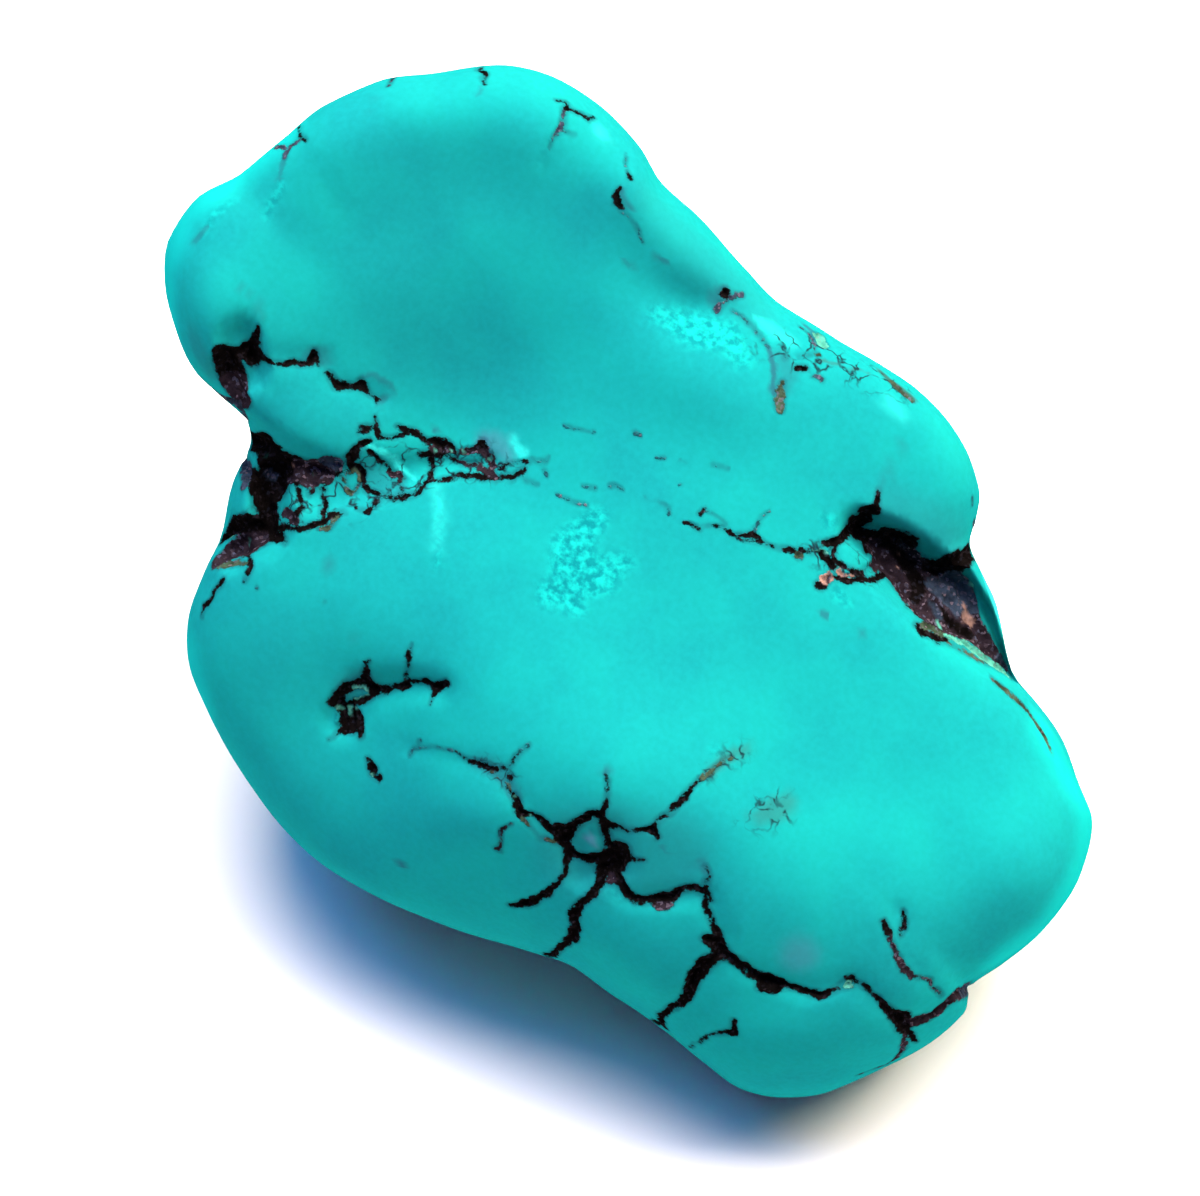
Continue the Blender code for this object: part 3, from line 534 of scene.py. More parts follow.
    ("black", [(4.3, -12.2, 0.15), (4.65, -12.45, 0.13), (5.0, -12.7, 0.13), (5.4, -12.98, 0.16),
               (5.65, -13.25, 0.3), (6.05, -13.35, 0.25), (6.4, -13.35, 0.1), (6.85, -13.38, 0.06),
               (7.2, -13.5, 0.07), (7.55, -13.62, 0.14), (7.95, -13.46, 0.07), (8.3, -13.42, 0.04)]),
    ("black", [(8.2, -13.35, 0.05), (8.4, -13.15, 0.05), (8.7, -13.05, 0.07), (8.9, -13.2, 0.07),
               (9.3, -13.45, 0.07), (9.6, -13.7, 0.08), (9.85, -14.0, 0.1), (10.05, -14.35, 0.14),
               (10.35, -14.55, 0.26), (10.55, -14.85, 0.24)]),
    ("mint", [(8.55, -13.28, 0.12)]),
    ("brown", [(10.6, -14.7, 0.2), (11.0, -14.57, 0.18), (11.4, -14.48, 0.17), (11.8, -14.2, 0.19),
               (12.2, -13.85, 0.2), (12.6, -13.62, 0.18)]),
    ("slate", [(12.6, -13.62, 0.2), (13.0, -13.5, 0.19), (13.4, -13.25, 0.16), (13.9, -12.95, 0.14),
               (14.5, -12.58, 0.09), (15.0, -12.15, 0.05)]),
    ("black", [(10.55, -14.9, 0.14), (10.75, -15.2, 0.08), (11.0, -15.45, 0.02)]),
    ("brown", [(10.55, -15.1, 0.08), (10.52, -15.7, 0.09), (10.3, -16.02, 0.05), (9.9, -16.28, 0.05),
               (9.4, -16.42, 0.03), (8.9, -16.6, 0.01)]),
    ("black", [(9.72, -11.08, 0.05), (9.86, -11.42, 0.08)]),
    ("black", [(10.45, -10.75, 0.05), (10.45, -11.1, 0.07), (10.33, -11.5, 0.06)]),
    ("brown", [(9.92, -11.6, 0.05), (10.1, -12.0, 0.04), (10.28, -12.5, 0.06), (10.5, -12.82, 0.06),
               (10.7, -12.97, 0.03), (11.1, -13.05, 0.03), (11.4, -13.12, 0.04), (11.5, -13.4, 0.04),
               (11.85, -13.72, 0.03)]),
    ("black", [(3.12, -15.65, 0.03), (3.3, -15.48, 0.02), (3.8, -15.15, 0.02), (4.3, -15.0, 0.04),
               (4.62, -14.98, 0.1), (4.64, -14.55, 0.05)]),
    ("slate", [(12.9, -14.0, 0.03), (12.88, -14.4, 0.015)]),
    # Hairlines and spots of the top and the upper right.
    ("black", [(-4.1, 18.3, 0.03), (-4.2, 18.15, 0.04), (-4.0, 18.0, 0.03), (-4.05, 17.75, 0.04),
               (-4.0, 17.6, 0.02)]),
    ("slate", [(-6.9, 18.0, 0.03), (-7.1, 17.8, 0.03), (-7.2, 17.6, 0.015)]),
    ("black", [(-10.32, 16.2, 0.03), (-10.25, 15.9, 0.05), (-10.1, 15.72, 0.03)]),
    ("slate", [(-10.3, 15.75, 0.03), (-10.6, 15.5, 0.03), (-10.75, 15.3, 0.06), (-10.8, 15.05, 0.02)]),
    ("slate", [(-10.72, 15.36, 0.03), (-11.0, 15.45, 0.05), (-11.25, 15.5, 0.02)]),
    ("black", [(-1.5, 17.05, 0.015), (-1.15, 17.02, 0.03), (-1.12, 16.8, 0.08), (-0.9, 16.75, 0.04),
               (-0.6, 16.6, 0.06), (-0.4, 16.42, 0.05), (-0.2, 16.45, 0.02)]),
    ("slate", [(-1.15, 16.8, 0.05), (-1.2, 16.4, 0.03), (-1.26, 16.05, 0.05), (-1.6, 15.75, 0.02)]),
    ("black", [(1.0, 14.5, 0.04), (1.06, 14.42, 0.06)]),
    ("black", [(0.66, 14.0, 0.02), (0.5, 13.78, 0.05), (0.6, 13.55, 0.08), (0.75, 13.3, 0.03)]),
    ("black", [(4.3, 10.5, 0.12)]),
    ("slate", [(4.5, 10.4, 0.04), (4.9, 10.45, 0.05)]),
    ("slate", [(4.4, 10.28, 0.03), (4.12, 10.15, 0.05), (4.0, 9.9, 0.06)]),
    ("olive", [(6.3, 7.4, 0.05), (6.22, 6.95, 0.08), (6.14, 6.4, 0.05)]),
    ("black", [(6.86, 7.92, 0.09), (6.98, 7.9, 0.1)]),
    ("black", [(6.45, 8.25, 0.06)]),
    ("olive", [(6.85, 8.3, 0.04), (7.1, 8.4, 0.06), (7.3, 8.45, 0.04), (7.5, 8.35, 0.06)]),
    ("slate", [(6.95, 9.35, 0.02), (7.25, 9.1, 0.04), (7.38, 8.75, 0.04), (7.3, 8.5, 0.04)]),
    ("mint", [(7.6, 9.05, 0.18), (7.68, 8.8, 0.2)]),
    ("olive", [(9.8, 7.75, 0.04), (10.2, 7.32, 0.07), (10.7, 6.88, 0.1)]),
    ("slate", [(7.3, 7.56, 0.02), (7.6, 7.5, 0.04)]),
]
print(len(FRONT_FILLINGS), "fillings on the front")

# %% Fillings of the back, islands and crystals
BACK_FILLINGS = [
    ("black", [(-13.9, 4.6, 0.5), (-12.6, 4.2, 0.42), (-11.4, 3.6, 0.26), (-10.2, 3.4, 0.14),
               (-9.0, 3.2, 0.2), (-7.6, 3.9, 0.08), (-6.2, 4.2, 0.12), (-5.0, 4.6, 0.05)]),
    ("slate", [(-13.6, 3.4, 0.3), (-13.2, 2.5, 0.24)]),
    ("brown", [(-9.0, 3.2, 0.14), (-8.4, 2.2, 0.07), (-8.8, 1.2, 0.04), (-8.2, 0.2, 0.02)]),
    ("black", [(-5.0, 4.6, 0.06), (-3.8, 3.9, 0.05), (-2.6, 4.1, 0.1), (-1.0, 3.4, 0.03)]),
    ("black", [(-12.8, 7.0, 0.4), (-12.0, 7.8, 0.24), (-11.2, 8.0, 0.08), (-10.0, 8.6, 0.03)]),
    ("brown", [(13.8, -1.0, 0.5), (12.6, -1.4, 0.44), (11.6, -1.0, 0.3), (10.4, -1.0, 0.3)]),
    ("black", [(10.4, -1.0, 0.26), (9.4, -0.4, 0.12), (8.6, 0.2, 0.16), (8.0, 0.4, 0.08),
               (7.4, 1.6, 0.06), (6.6, 3.0, 0.03)]),
    ("black", [(8.6, 0.2, 0.1), (7.4, -0.6, 0.05), (6.6, -0.8, 0.08), (5.4, -1.9, 0.02)]),
    ("slate", [(13.2, 1.2, 0.3), (12.6, 1.6, 0.2), (11.8, 1.4, 0.06)]),
    ("black", [(-3.4, 13.0, 0.04), (-2.4, 12.2, 0.08), (-1.2, 11.9, 0.05), (-0.4, 11.2, 0.16),
               (0.6, 11.0, 0.1), (1.6, 10.4, 0.06), (3.0, 9.6, 0.04), (4.6, 8.2, 0.02)]),
    ("black", [(-0.4, 11.2, 0.1), (-0.6, 10.2, 0.05), (-0.2, 9.4, 0.03)]),
    ("brown", [(-9.6, 11.0, 0.03), (-8.8, 10.2, 0.09), (-8.0, 10.0, 0.04), (-7.4, 9.2, 0.02)]),
    ("black", [(1.8, -12.8, 0.12), (2.0, -11.8, 0.1), (1.2, -10.8, 0.07), (1.4, -9.6, 0.12),
               (0.6, -8.8, 0.05), (0.4, -7.6, 0.02)]),
    ("black", [(1.4, -9.6, 0.1), (2.4, -9.2, 0.06), (3.6, -9.4, 0.04), (4.6, -8.8, 0.02)]),
    ("brown", [(12.9, -12.9, 0.18), (11.6, -12.2, 0.14), (10.4, -12.2, 0.08), (9.2, -11.4, 0.1),
               (8.2, -11.2, 0.03)]),
    ("black", [(-12.4, -3.6, 0.03), (-11.4, -3.4, 0.08), (-10.4, -2.6, 0.05), (-9.6, -2.8, 0.02)]),
    ("black", [(-6.8, -7.8, 0.12), (-6.5, -7.5, 0.1)]),
    ("black", [(5.6, 5.8, 0.1)]),
    ("brown", [(-4.0, -3.8, 0.08), (-3.7, -3.9, 0.06)]),
]

# Scraps of turquoise that stand in the matrix.
ISLANDS = [
    [(-0.32, -8.26, 0.36)],
    [(8.5, 1.5, 0.3), (9.1, 1.3, 0.24)],
    [(-12.55, 3.5, 0.26), (-12.8, 3.2, 0.3)],
    [(-9.15, -4.0, 0.12), (-9.2, -4.25, 0.1)],
]

# Crystals and stained patches that lie in the pockets, and painted glints, the small pale dots on
# the veins: colour, then the route.
CRYSTALS_AND_GLINTS = [
    ("black", [(9.9, 1.9, 0.15), (10.9, 1.2, 0.25), (11.2, 0.6, 0.3), (11.0, 0.0, 0.2)]),
    ("slate", [(11.7, 0.5, 0.25), (12.2, 0.1, 0.3), (12.6, -0.3, 0.2)]),
    ("black", [(12.0, -0.4, 0.12), (12.5, -0.8, 0.2), (13.1, -1.2, 0.15)]),
    ("slate", [(11.9, -0.6, 0.12), (11.6, -0.1, 0.08)]),
    ("tan", [(12.85, -0.25, 0.05), (12.95, -0.6, 0.16), (13.15, -0.82, 0.13)]),
    ("brown", [(7.84, 0.4, 0.03), (7.98, 0.95, 0.03)]),
    ("brown", [(8.42, 1.0, 0.03), (8.46, 0.6, 0.03)]),
    ("tan", [(10.47, 1.45, 0.04)]),
    ("tan", [(10.5, 1.1, 0.05)]),
    ("mint", [(13.0, 0.55, 0.2), (13.2, 0.3, 0.14)]),
    ("tan", [(-10.58, 4.5, 0.05)]),
    ("mint", [(-10.02, 4.22, 0.05)]),
    ("mint", [(-11.75, 4.82, 0.05), (-11.82, 5.0, 0.03)]),
    ("slate", [(-11.7, 4.3, 0.12), (-11.4, 4.15, 0.1)]),
    ("mint", [(-13.0, 1.9, 0.05), (-12.75, 2.2, 0.04)]),
    ("mint", [(-12.45, 1.75, 0.05), (-12.25, 2.15, 0.03)]),
    ("mint", [(-5.62, 5.1, 0.04)]),
    ("mint", [(-5.15, 5.08, 0.04)]),
    ("mint", [(-4.7, 5.08, 0.05)]),
    ("mint", [(-3.78, 4.82, 0.07)]),
    ("mint", [(-8.55, -3.15, 0.03), (-8.2, -3.15, 0.04), (-8.15, -3.35, 0.04), (-8.45, -3.5, 0.05)]),
    ("mint", [(-9.35, -3.82, 0.03), (-9.1, -3.76, 0.04), (-8.95, -3.8, 0.03)]),
    ("mint", [(-8.7, -3.82, 0.05), (-8.72, -4.05, 0.06)]),
    ("mint", [(-8.45, -3.85, 0.05)]),
    ("mint", [(-7.9, -5.95, 0.03), (-7.95, -6.2, 0.05)]),
    ("slate", [(-1.05, -11.2, 0.05)]),
    ("slate", [(-0.75, -11.05, 0.05)]),
    ("mint", [(7.4, 1.62, 0.05), (7.62, 1.68, 0.04)]),
    ("mint", [(7.75, 1.55, 0.05)]),
    ("mint", [(11.85, -0.75, 0.06), (11.95, -0.95, 0.04)]),
    ("mint", [(-2.35, -7.47, 0.03)]),
    ("mint", [(-2.86, -6.78, 0.04)]),
]
print(len(BACK_FILLINGS), "fillings on the back,", len(ISLANDS), "islands,", len(CRYSTALS_AND_GLINTS), "crystals")

# %% Stains and painted light: colour, strength, softness, route. Frost: route.
FRONT_HAIRLINES = [
    [(-6.6, -5.35, 0.025), (-6.35, -5.15, 0.043), (-6.2, -5.1, 0.025)],
    [(-6.3, -5.1, 0.017), (-6.25, -4.88, 0.017)],
    [(-6.1, -5.1, 0.017), (-5.5, -5.22, 0.017), (-5.0, -5.36, 0.017)],
    [(-2.7, -5.22, 0.017), (-2.45, -5.0, 0.012)],
    [(-3.05, -7.78, 0.025), (-3.5, -7.9, 0.051), (-3.5, -8.7, 0.068)],
    [(-0.6, 3.85, 0.017), (-0.2, 3.82, 0.034)],
    [(0.4, 3.85, 0.025), (0.6, 3.86, 0.025), (0.8, 3.75, 0.025)],
    [(-1.45, 3.54, 0.017), (-1.0, 3.35, 0.017), (-0.55, 3.2, 0.012)],
    [(-1.3, 6.0, 0.025), (-0.7, 5.85, 0.017), (-0.2, 5.66, 0.012)],
    [(1.1, 5.7, 0.017), (1.4, 5.55, 0.034)],
    [(2.0, 4.8, 0.017), (2.25, 4.83, 0.025)],
    [(2.8, 4.68, 0.025), (2.95, 4.6, 0.017)],
    [(3.8, 4.65, 0.017), (4.35, 4.5, 0.017)],
    [(1.5, 3.48, 0.017), (1.9, 3.36, 0.017), (2.25, 3.12, 0.017)],
    [(2.34, 3.0, 0.034), (2.34, 2.85, 0.025)],
    [(2.82, 3.9, 0.043)],
    [(3.68, 3.05, 0.025), (4.0, 2.86, 0.017), (4.3, 2.55, 0.025)],
    [(5.32, 2.25, 0.034), (5.5, 2.6, 0.025), (5.55, 2.8, 0.025), (5.8, 3.1, 0.012)],
    [(-2.45, 4.72, 0.034), (-2.1, 4.66, 0.017), (-1.85, 4.7, 0.017), (-1.76, 4.85, 0.017)],
    [(-1.92, 4.42, 0.025), (-1.8, 4.26, 0.034)],
    [(-2.6, 4.05, 0.017), (-2.2, 3.98, 0.025)],
    [(-11.86, 0.35, 0.025)],
    [(-9.45, -0.2, 0.034)],
    [(12.84, 3.5, 0.043), (12.84, 3.2, 0.034)],
    [(0.75, 13.3, 0.025), (1.0, 12.95, 0.017), (1.3, 12.6, 0.025), (1.55, 12.28, 0.012)],
    [(0.9, 15.3, 0.025), (0.84, 15.0, 0.025), (0.9, 14.7, 0.017), (1.0, 14.5, 0.025)],
    [(0.6, 16.5, 0.017), (0.9, 16.1, 0.017), (1.2, 15.8, 0.017)],
    [(-1.2, 16.0, 0.025), (-0.85, 15.85, 0.025)],
    [(-1.6, 15.75, 0.025), (-1.75, 15.4, 0.017)],
    [(4.6, 9.95, 0.034), (5.0, 9.6, 0.043), (5.5, 9.1, 0.043), (5.8, 8.6, 0.043)],
]
FRONT_STAINS_AND_PAINTED_LIGHT = [
    ("deep", 0.5, 0.25, [(-4.3, -5.6, 0.1), (-3.3, -6.0, 0.2), (-2.8, -6.8, 0.1)]),
    ("deep", 0.9, 0.1, [(-6.85, -9.3, 0.075)]),
    ("deep", 0.75, 0.15, [(0.2, -5.85, 0.12)]),
    ("deep", 0.6, 0.2, [(3.45, -8.95, 0.1), (3.65, -9.3, 0.06)]),
    ("deep", 0.45, 0.2, [(3.6, -8.2, 0.1), (3.8, -8.0, 0.06)]),
    ("deep", 0.6, 0.1, [(2.1, -8.5, 0.045), (2.2, -8.8, 0.035)]),
    ("olive", 0.4, 0.25, [(3.7, -5.95, 0.06), (4.3, -5.5, 0.12), (5.1, -5.2, 0.06)]),
    ("olive", 0.35, 0.3, [(5.3, -7.5, 0.1), (5.9, -7.3, 0.3), (6.4, -7.0, 0.2)]),
    ("purple", 0.3, 0.7, [(6.8, -12.2, 0.3)]),
    # Painted shade in the shaded bowl round the star.
    ("deep", 0.3, 1.5, [(-0.6, -8.7, 0.9), (0.6, -8.6, 1.0), (2.2, -8.8, 0.8)]),
    ("purple", 0.35, 0.4, [(-3.95, 5.5, 0.1), (-3.5, 5.3, 0.15), (-3.2, 5.0, 0.1)]),
    ("deep", 0.6, 0.12, [(-5.1, 6.55, 0.095)]),
    ("deep", 0.75, 0.1, [(-5.65, 5.8, 0.065)]),
    ("deep", 0.45, 0.15, [(-7.6, 6.85, 0.1), (-7.2, 7.1, 0.03)]),
    ("deep", 0.52, 0.1, [(-8.2, 7.55, 0.035), (-7.9, 7.65, 0.045), (-7.2, 7.42, 0.035), (-7.02, 7.1, 0.035)]),
    ("deep", 0.45, 0.2, [(-10.1, 8.35, 0.12), (-9.5, 8.5, 0.12), (-9.35, 8.1, 0.08)]),
    ("deep", 0.4, 0.15, [(-12.5, 10.7, 0.04), (-12.0, 10.5, 0.04), (-11.7, 10.0, 0.05), (-11.62, 9.6, 0.04)]),
    ("deep", 0.35, 0.4, [(-14.0, 9.1, 0.12), (-13.8, 8.5, 0.25), (-13.5, 7.8, 0.2)]),
    ("deep", 0.3, 0.4, [(-8.0, 4.5, 0.1), (-7.5, 4.0, 0.15), (-6.9, 3.7, 0.1)]),
    ("deep", 0.52, 0.12, [(-9.45, 1.1, 0.095)]),
    ("deep", 0.75, 0.1, [(7.65, -0.5, 0.075), (7.85, -0.6, 0.095)]),
    ("deep", 0.52, 0.12, [(9.1, -1.25, 0.095)]),
    ("deep", 0.4, 0.25, [(-8.6, -1.1, 0.04), (-8.7, -1.5, 0.08)]),
    ("deep", 0.55, 0.5, [(-8.9, -3.2, 0.1), (-8.1, -2.8, 0.1)]),
    ("deep", 0.6, 0.1, [(12.8, 4.75, 0.065)]),
    # A painted shadow line down the right shoulder.
    ("deep", 0.35, 0.2, [(10.35, 5.3, 0.03), (10.2, 4.7, 0.05), (9.9, 4.2, 0.05), (9.65, 3.7, 0.08)]),
    ("deep", 0.68, 0.1, [(2.0, 11.7, 0.035), (2.6, 11.48, 0.035)]),
    ("deep", 0.45, 0.1, [(0.9, 11.6, 0.035), (1.3, 11.2, 0.045)]),
    ("deep", 0.75, 0.12, [(0.7, 13.9, 0.065), (1.0, 13.4, 0.065)]),
    ("deep", 0.45, 0.1, [(-4.15, 17.5, 0.035), (-4.2, 17.2, 0.035)]),
    ("deep", 0.6, 0.1, [(-10.8, 15.05, 0.045), (-10.92, 14.7, 0.045), (-10.92, 14.4, 0.035)]),
    ("deep", 0.52, 0.1, [(-13.9, 12.3, 0.055), (-13.5, 12.7, 0.065)]),
    ("deep", 0.3, 0.15, [(-7.8, 16.6, 0.03), (-7.7, 17.0, 0.02)]),
    ("deep", 0.7, 0.3, [(4.2, 10.55, 0.12), (3.9, 10.25, 0.08)]),
    ("deep", 0.98, 0.1, [(5.8, 8.6, 0.065), (5.95, 8.1, 0.075), (6.0, 7.6, 0.065), (6.05, 7.0, 0.055)]),
    ("deep", 0.45, 0.3, [(6.3, 8.3, 0.15), (6.5, 7.7, 0.15), (6.3, 7.2, 0.1)]),
    ("deep", 0.9, 0.1, [(7.1, 9.4, 0.065), (7.35, 9.2, 0.065), (7.4, 8.8, 0.065)]),
    ("olive", 0.5, 0.08, [(7.6, 8.15, 0.03), (8.2, 8.0, 0.03), (8.8, 7.85, 0.03), (9.3, 7.75, 0.02)]),
    ("olive", 0.6, 0.12, [(9.7, 7.85, 0.08), (10.2, 7.35, 0.12), (10.75, 6.9, 0.14)]),
    # Painted shade on the shoulder that rolls down into the right pocket.
    ("deep", 0.3, 1.3, [(10.3, 2.9, 0.3), (11.4, 2.4, 0.3), (12.2, 2.0, 0.2)]),
    # A painted highlight on the rim right of the pocket, lightening the shading there.
    ("chalk", 1.0, 0.3, [(13.2, 1.2, 0.05), (13.6, 0.2, 0.25), (13.95, -0.8, 0.25), (14.3, -1.9, 0.1)]),
    # Painted rim light: paler turquoise along the rims, where they catch the lamps.
    ("pale", 0.6, 1.2, [(-14.8, 9.6, 0.1), (-15.0, 11.4, 0.4), (-14.4, 13.2, 0.3), (-12.6, 14.5, 0.2),
                        (-10.8, 15.8, 0.2)]),
    ("pale", 0.45, 1.2, [(-14.3, 1.0, 0.1), (-14.6, -1.0, 0.3), (-13.8, -4.0, 0.3), (-12.6, -6.4, 0.4),
                         (-10.8, -8.6, 0.3)]),
    ("pale", 0.55, 1.3, [(15.4, -4.6, 0.1), (17.0, -7.6, 0.3), (16.8, -9.4, 0.5), (15.4, -11.4, 0.5),
                         (14.0, -12.4, 0.2)]),
    # Painted shade on the upper right band, beside the groove.
    ("deep", 0.2, 1.0, [(1.4, 13.8, 0.1), (3.4, 11.8, 0.3), (5.4, 9.9, 0.3)]),
    # Painted shade on the island in the star's hollow.
    ("purple", 0.6, 0.25, [(-0.32, -8.26, 0.2)]),
    # Painted highlights on ridges, on a streak below the waist and on bumps that catch the lamps.
    ("chalk", 0.5, 0.12, [(-7.95, 5.3, 0.03), (-7.2, 4.85, 0.08), (-6.4, 4.2, 0.04)]),
    ("chalk", 0.2, 0.4, [(-5.65, 3.7, 0.05), (-5.5, 2.8, 0.06), (-5.6, 1.8, 0.02)]),
    ("chalk", 0.4, 0.2, [(-2.95, 5.5, 0.06), (-2.6, 5.0, 0.12)]),
    ("chalk", 0.35, 0.4, [(0.0, 16.0, 0.08)]),
    ("chalk", 0.3, 0.45, [(5.5, 9.6, 0.03), (6.5, 8.8, 0.05)]),
    ("chalk", 0.25, 0.4, [(9.9, 6.8, 0.03), (10.4, 6.3, 0.05)]),
]
BACK_STAINS = [
    ("deep", 0.6, 0.07, [(-6.0, -2.0, 0.02), (-5.0, -2.4, 0.04), (-4.2, -3.4, 0.03), (-3.8, -3.8, 0.05)]),
    ("deep", 0.6, 0.07, [(4.4, -1.9, 0.02), (3.2, -2.4, 0.03), (2.2, -2.0, 0.02)]),
    ("deep", 0.5, 0.08, [(5.6, 5.8, 0.05), (4.4, 6.4, 0.03), (3.2, 6.0, 0.02)]),
    ("olive", 0.5, 0.25, [(-6.2, -7.6, 0.2), (-5.4, -8.2, 0.1)]),
    ("purple", 0.35, 0.6, [(9.6, 3.6, 0.3)]),
    ("deep", 0.55, 0.07, [(-4.8, 15.4, 0.02), (-4.2, 14.4, 0.03), (-3.4, 13.0, 0.03)]),
    ("deep", 0.5, 0.08, [(4.6, -8.8, 0.03), (5.8, -8.2, 0.02), (6.4, -7.2, 0.02)]),
]
# Frosted patches: pitted skin where the shader also paints a sparkle of lighter and darker specks.
FROST = [
    [(0.8, 1.2, 0.35), (0.0, 0.8, 0.7), (-0.9, 0.6, 0.9), (-0.9, 1.8, 0.8), (-0.2, 2.7, 0.5)],
    [(-1.6, 0.2, 0.6), (-0.8, -0.3, 0.4)],
    [(2.0, 9.7, 0.3), (3.2, 9.2, 0.7), (4.4, 9.0, 0.6), (4.9, 8.2, 0.4)],
    [(-5.6, 3.5, 0.15), (-5.5, 2.3, 0.1), (-5.6, 1.2, 0.1)],
    [(-10.9, 14.2, 0.1), (-11.2, 13.6, 0.2), (-11.5, 13.1, 0.1)],
    [(-12.6, 13.6, 0.1), (-13.2, 13.2, 0.2), (-13.6, 12.5, 0.1)],
    [(8.2, 0.1, 0.25), (8.5, -0.25, 0.15)],
    [(7.8, 2.7, 0.3)],
    [(3.9, -5.2, 0.15), (4.1, -5.3, 0.1)],
    [(0.4, -10.15, 0.08), (0.9, -10.35, 0.05)],
    [(-2.9, 5.4, 0.12), (-2.6, 4.95, 0.16)],
    [(-7.9, 5.35, 0.1), (-7.2, 4.85, 0.16), (-6.3, 4.1, 0.12)],
]
CRACKLED = [
    ("front", 0.5, [(-12.4, 2.2, 0.2), (-10.4, 3.3, 0.8), (-8.6, 3.7, 0.8), (-7.2, 4.4, 0.7), (-5.4, 4.7, 0.5),
                    (-3.4, 4.6, 0.4)]),
    ("front", 0.4, [(7.2, 1.6, 0.2), (8.4, 1.2, 0.5), (9.2, 0.8, 0.3)]),
    ("front", 0.5, [(5.2, -7.5, 0.2), (5.9, -7.2, 0.5)]),
    ("front", 0.4, [(3.6, -6.0, 0.1), (4.8, -5.3, 0.2)]),
    ("front", 0.4, [(-4.2, -5.6, 0.1), (-3.1, -6.2, 0.2)]),
    ("front", 0.6, [(5.4, 8.8, 0.2), (7.2, 8.4, 0.6), (8.6, 8.0, 0.4), (10.2, 7.3, 0.4)]),
    ("back", 0.8, [(-11.0, 3.4, 0.5), (-7.0, 4.0, 0.4), (-4.0, 4.2, 0.3)]),
    ("back", 0.8, [(11.0, -1.2, 0.5), (8.4, 0.2, 0.4)]),
]
print(len(FRONT_STAINS_AND_PAINTED_LIGHT) + len(BACK_STAINS), "stains,", len(FROST), "frosted and", len(CRACKLED), "crackled patches")

# %% [markdown]
# ## Reading the strokes
#
# Each list is laid on the skin once. Then one function answers, for any points of the skin, how
# far the matrix is, how strong the stains and the painted light are and how frosted the skin is.
# Islands are taken out of the matrix by turning their own gap inside out, the usual trick with
# distances.

# %% Gaps and strengths for any points of the skin
WIDER = 1.2
THINNER = 0.02
laid_hollows = [(side, depth, wall, *laid_on_skin(side, route)) for side, depth, wall, route in HOLLOWS]
laid_fillings = [(tint, *laid_on_skin("front", route, WIDER)) for tint, route in FRONT_FILLINGS]
laid_hairlines = [laid_on_skin("front", route) for route in FRONT_HAIRLINES]
laid_fillings += [("hairline", stations, halves - THINNER) for stations, halves in laid_hairlines]
laid_fillings += [(tint, *laid_on_skin("back", route)) for tint, route in BACK_FILLINGS]
laid_islands = [laid_on_skin("front", route) for route in ISLANDS]
laid_crystals_and_glints = [(tint, *laid_on_skin("front", route)) for tint, route in CRYSTALS_AND_GLINTS]
laid_stains_and_painted_light = [(*finish, *laid_on_skin("front", route)) for *finish, route in FRONT_STAINS_AND_PAINTED_LIGHT]
laid_stains_and_painted_light += [(*finish, *laid_on_skin("back", route)) for *finish, route in BACK_STAINS]
laid_frost = [laid_on_skin("front", route) for route in FROST]
laid_crackle = [(softness, *laid_on_skin(side, route)) for side, softness, route in CRACKLED]


def matrix_gap(points):
    """mm to the nearest matrix, below 0 inside it, and the number of the stroke that is nearest."""
    gap = np.full(len(points), FAR)
    nearest = np.zeros(len(points), int)
    for number, (_, *laid) in enumerate(laid_fillings):
        here = gap_to_stroke(points, *laid)
        nearest = np.where(here < gap, number, nearest)
        gap = np.minimum(gap, here)
    for laid in laid_islands:
        gap = np.maximum(gap, -gap_to_stroke(points, *laid))
    return gap, nearest


def stains_and_painted_light_at(points):
    """How strong the strongest of the stains and painted light is, from 0 to 1, its number, and mm to the nearest of
    them.
    """
    strength = np.zeros(len(points))
    number_at = np.zeros(len(points), int)
    nearest = np.full(len(points), FAR)
    for number, (_, full, softness, *laid) in enumerate(laid_stains_and_painted_light):
        gap = gap_to_stroke(points, *laid)
        here = full * (1.0 - smooth_step(gap, -0.01, softness))
        number_at = np.where(here > strength, number, number_at)
        strength = np.maximum(strength, here)
        if softness < 0.11:
            nearest = np.minimum(nearest, gap)
    return strength, number_at, nearest


def frost_gap(points):
    """mm to the nearest frosted patch, below 0 inside it."""
    return np.min([gap_to_stroke(points, *laid) for laid in laid_frost], axis=0)


print("strokes laid:", len(laid_fillings) + len(laid_stains_and_painted_light) + len(laid_frost))

# %% [markdown]
# ## A mesh that is fine where it matters
#
# A uniform mesh fine enough for a hairline would have millions of faces. So we start from a round
# ball and cut only edges that are too long for what lies on them: about 0.4 mm on plain skin, and
# about 0.1 mm beside a vein. Cutting leaves uneven triangles, so a few passes of smoothing even
# them out on the ball, where smoothing can't harm the stone's shape.

# %% Refine a ball to suit the strokes
SKIN_EDGE = 0.46
SHOULDER_EDGE = 0.26
VEIN_EDGE = 0.075
POCKET_EDGE = 0.14


def edge_allowed(points):
    """The longest edge that the mesh may have at each point, in mm."""
    drawn = shaken(points)
    gap, _ = matrix_gap(drawn)
    _, _, hairline = stains_and_painted_light_at(drawn)
    frost = frost_gap(drawn)
    allowed = np.where(gap < 0.55, SHOULDER_EDGE, SKIN_EDGE)
    allowed = np.where(frost < 0.05, np.minimum(allowed, POCKET_EDGE), allowed)
    allowed = np.where(hairline < 0.08, VEIN_EDGE, allowed)
    return np.where(np.abs(gap + 0.02) < 0.13, VEIN_EDGE, np.where(gap < 0, POCKET_EDGE, allowed))


def directions_of(bm):
    d = np.array([v.co for v in bm.verts], float)
    return d / np.linalg.norm(d, axis=1, keepdims=True)


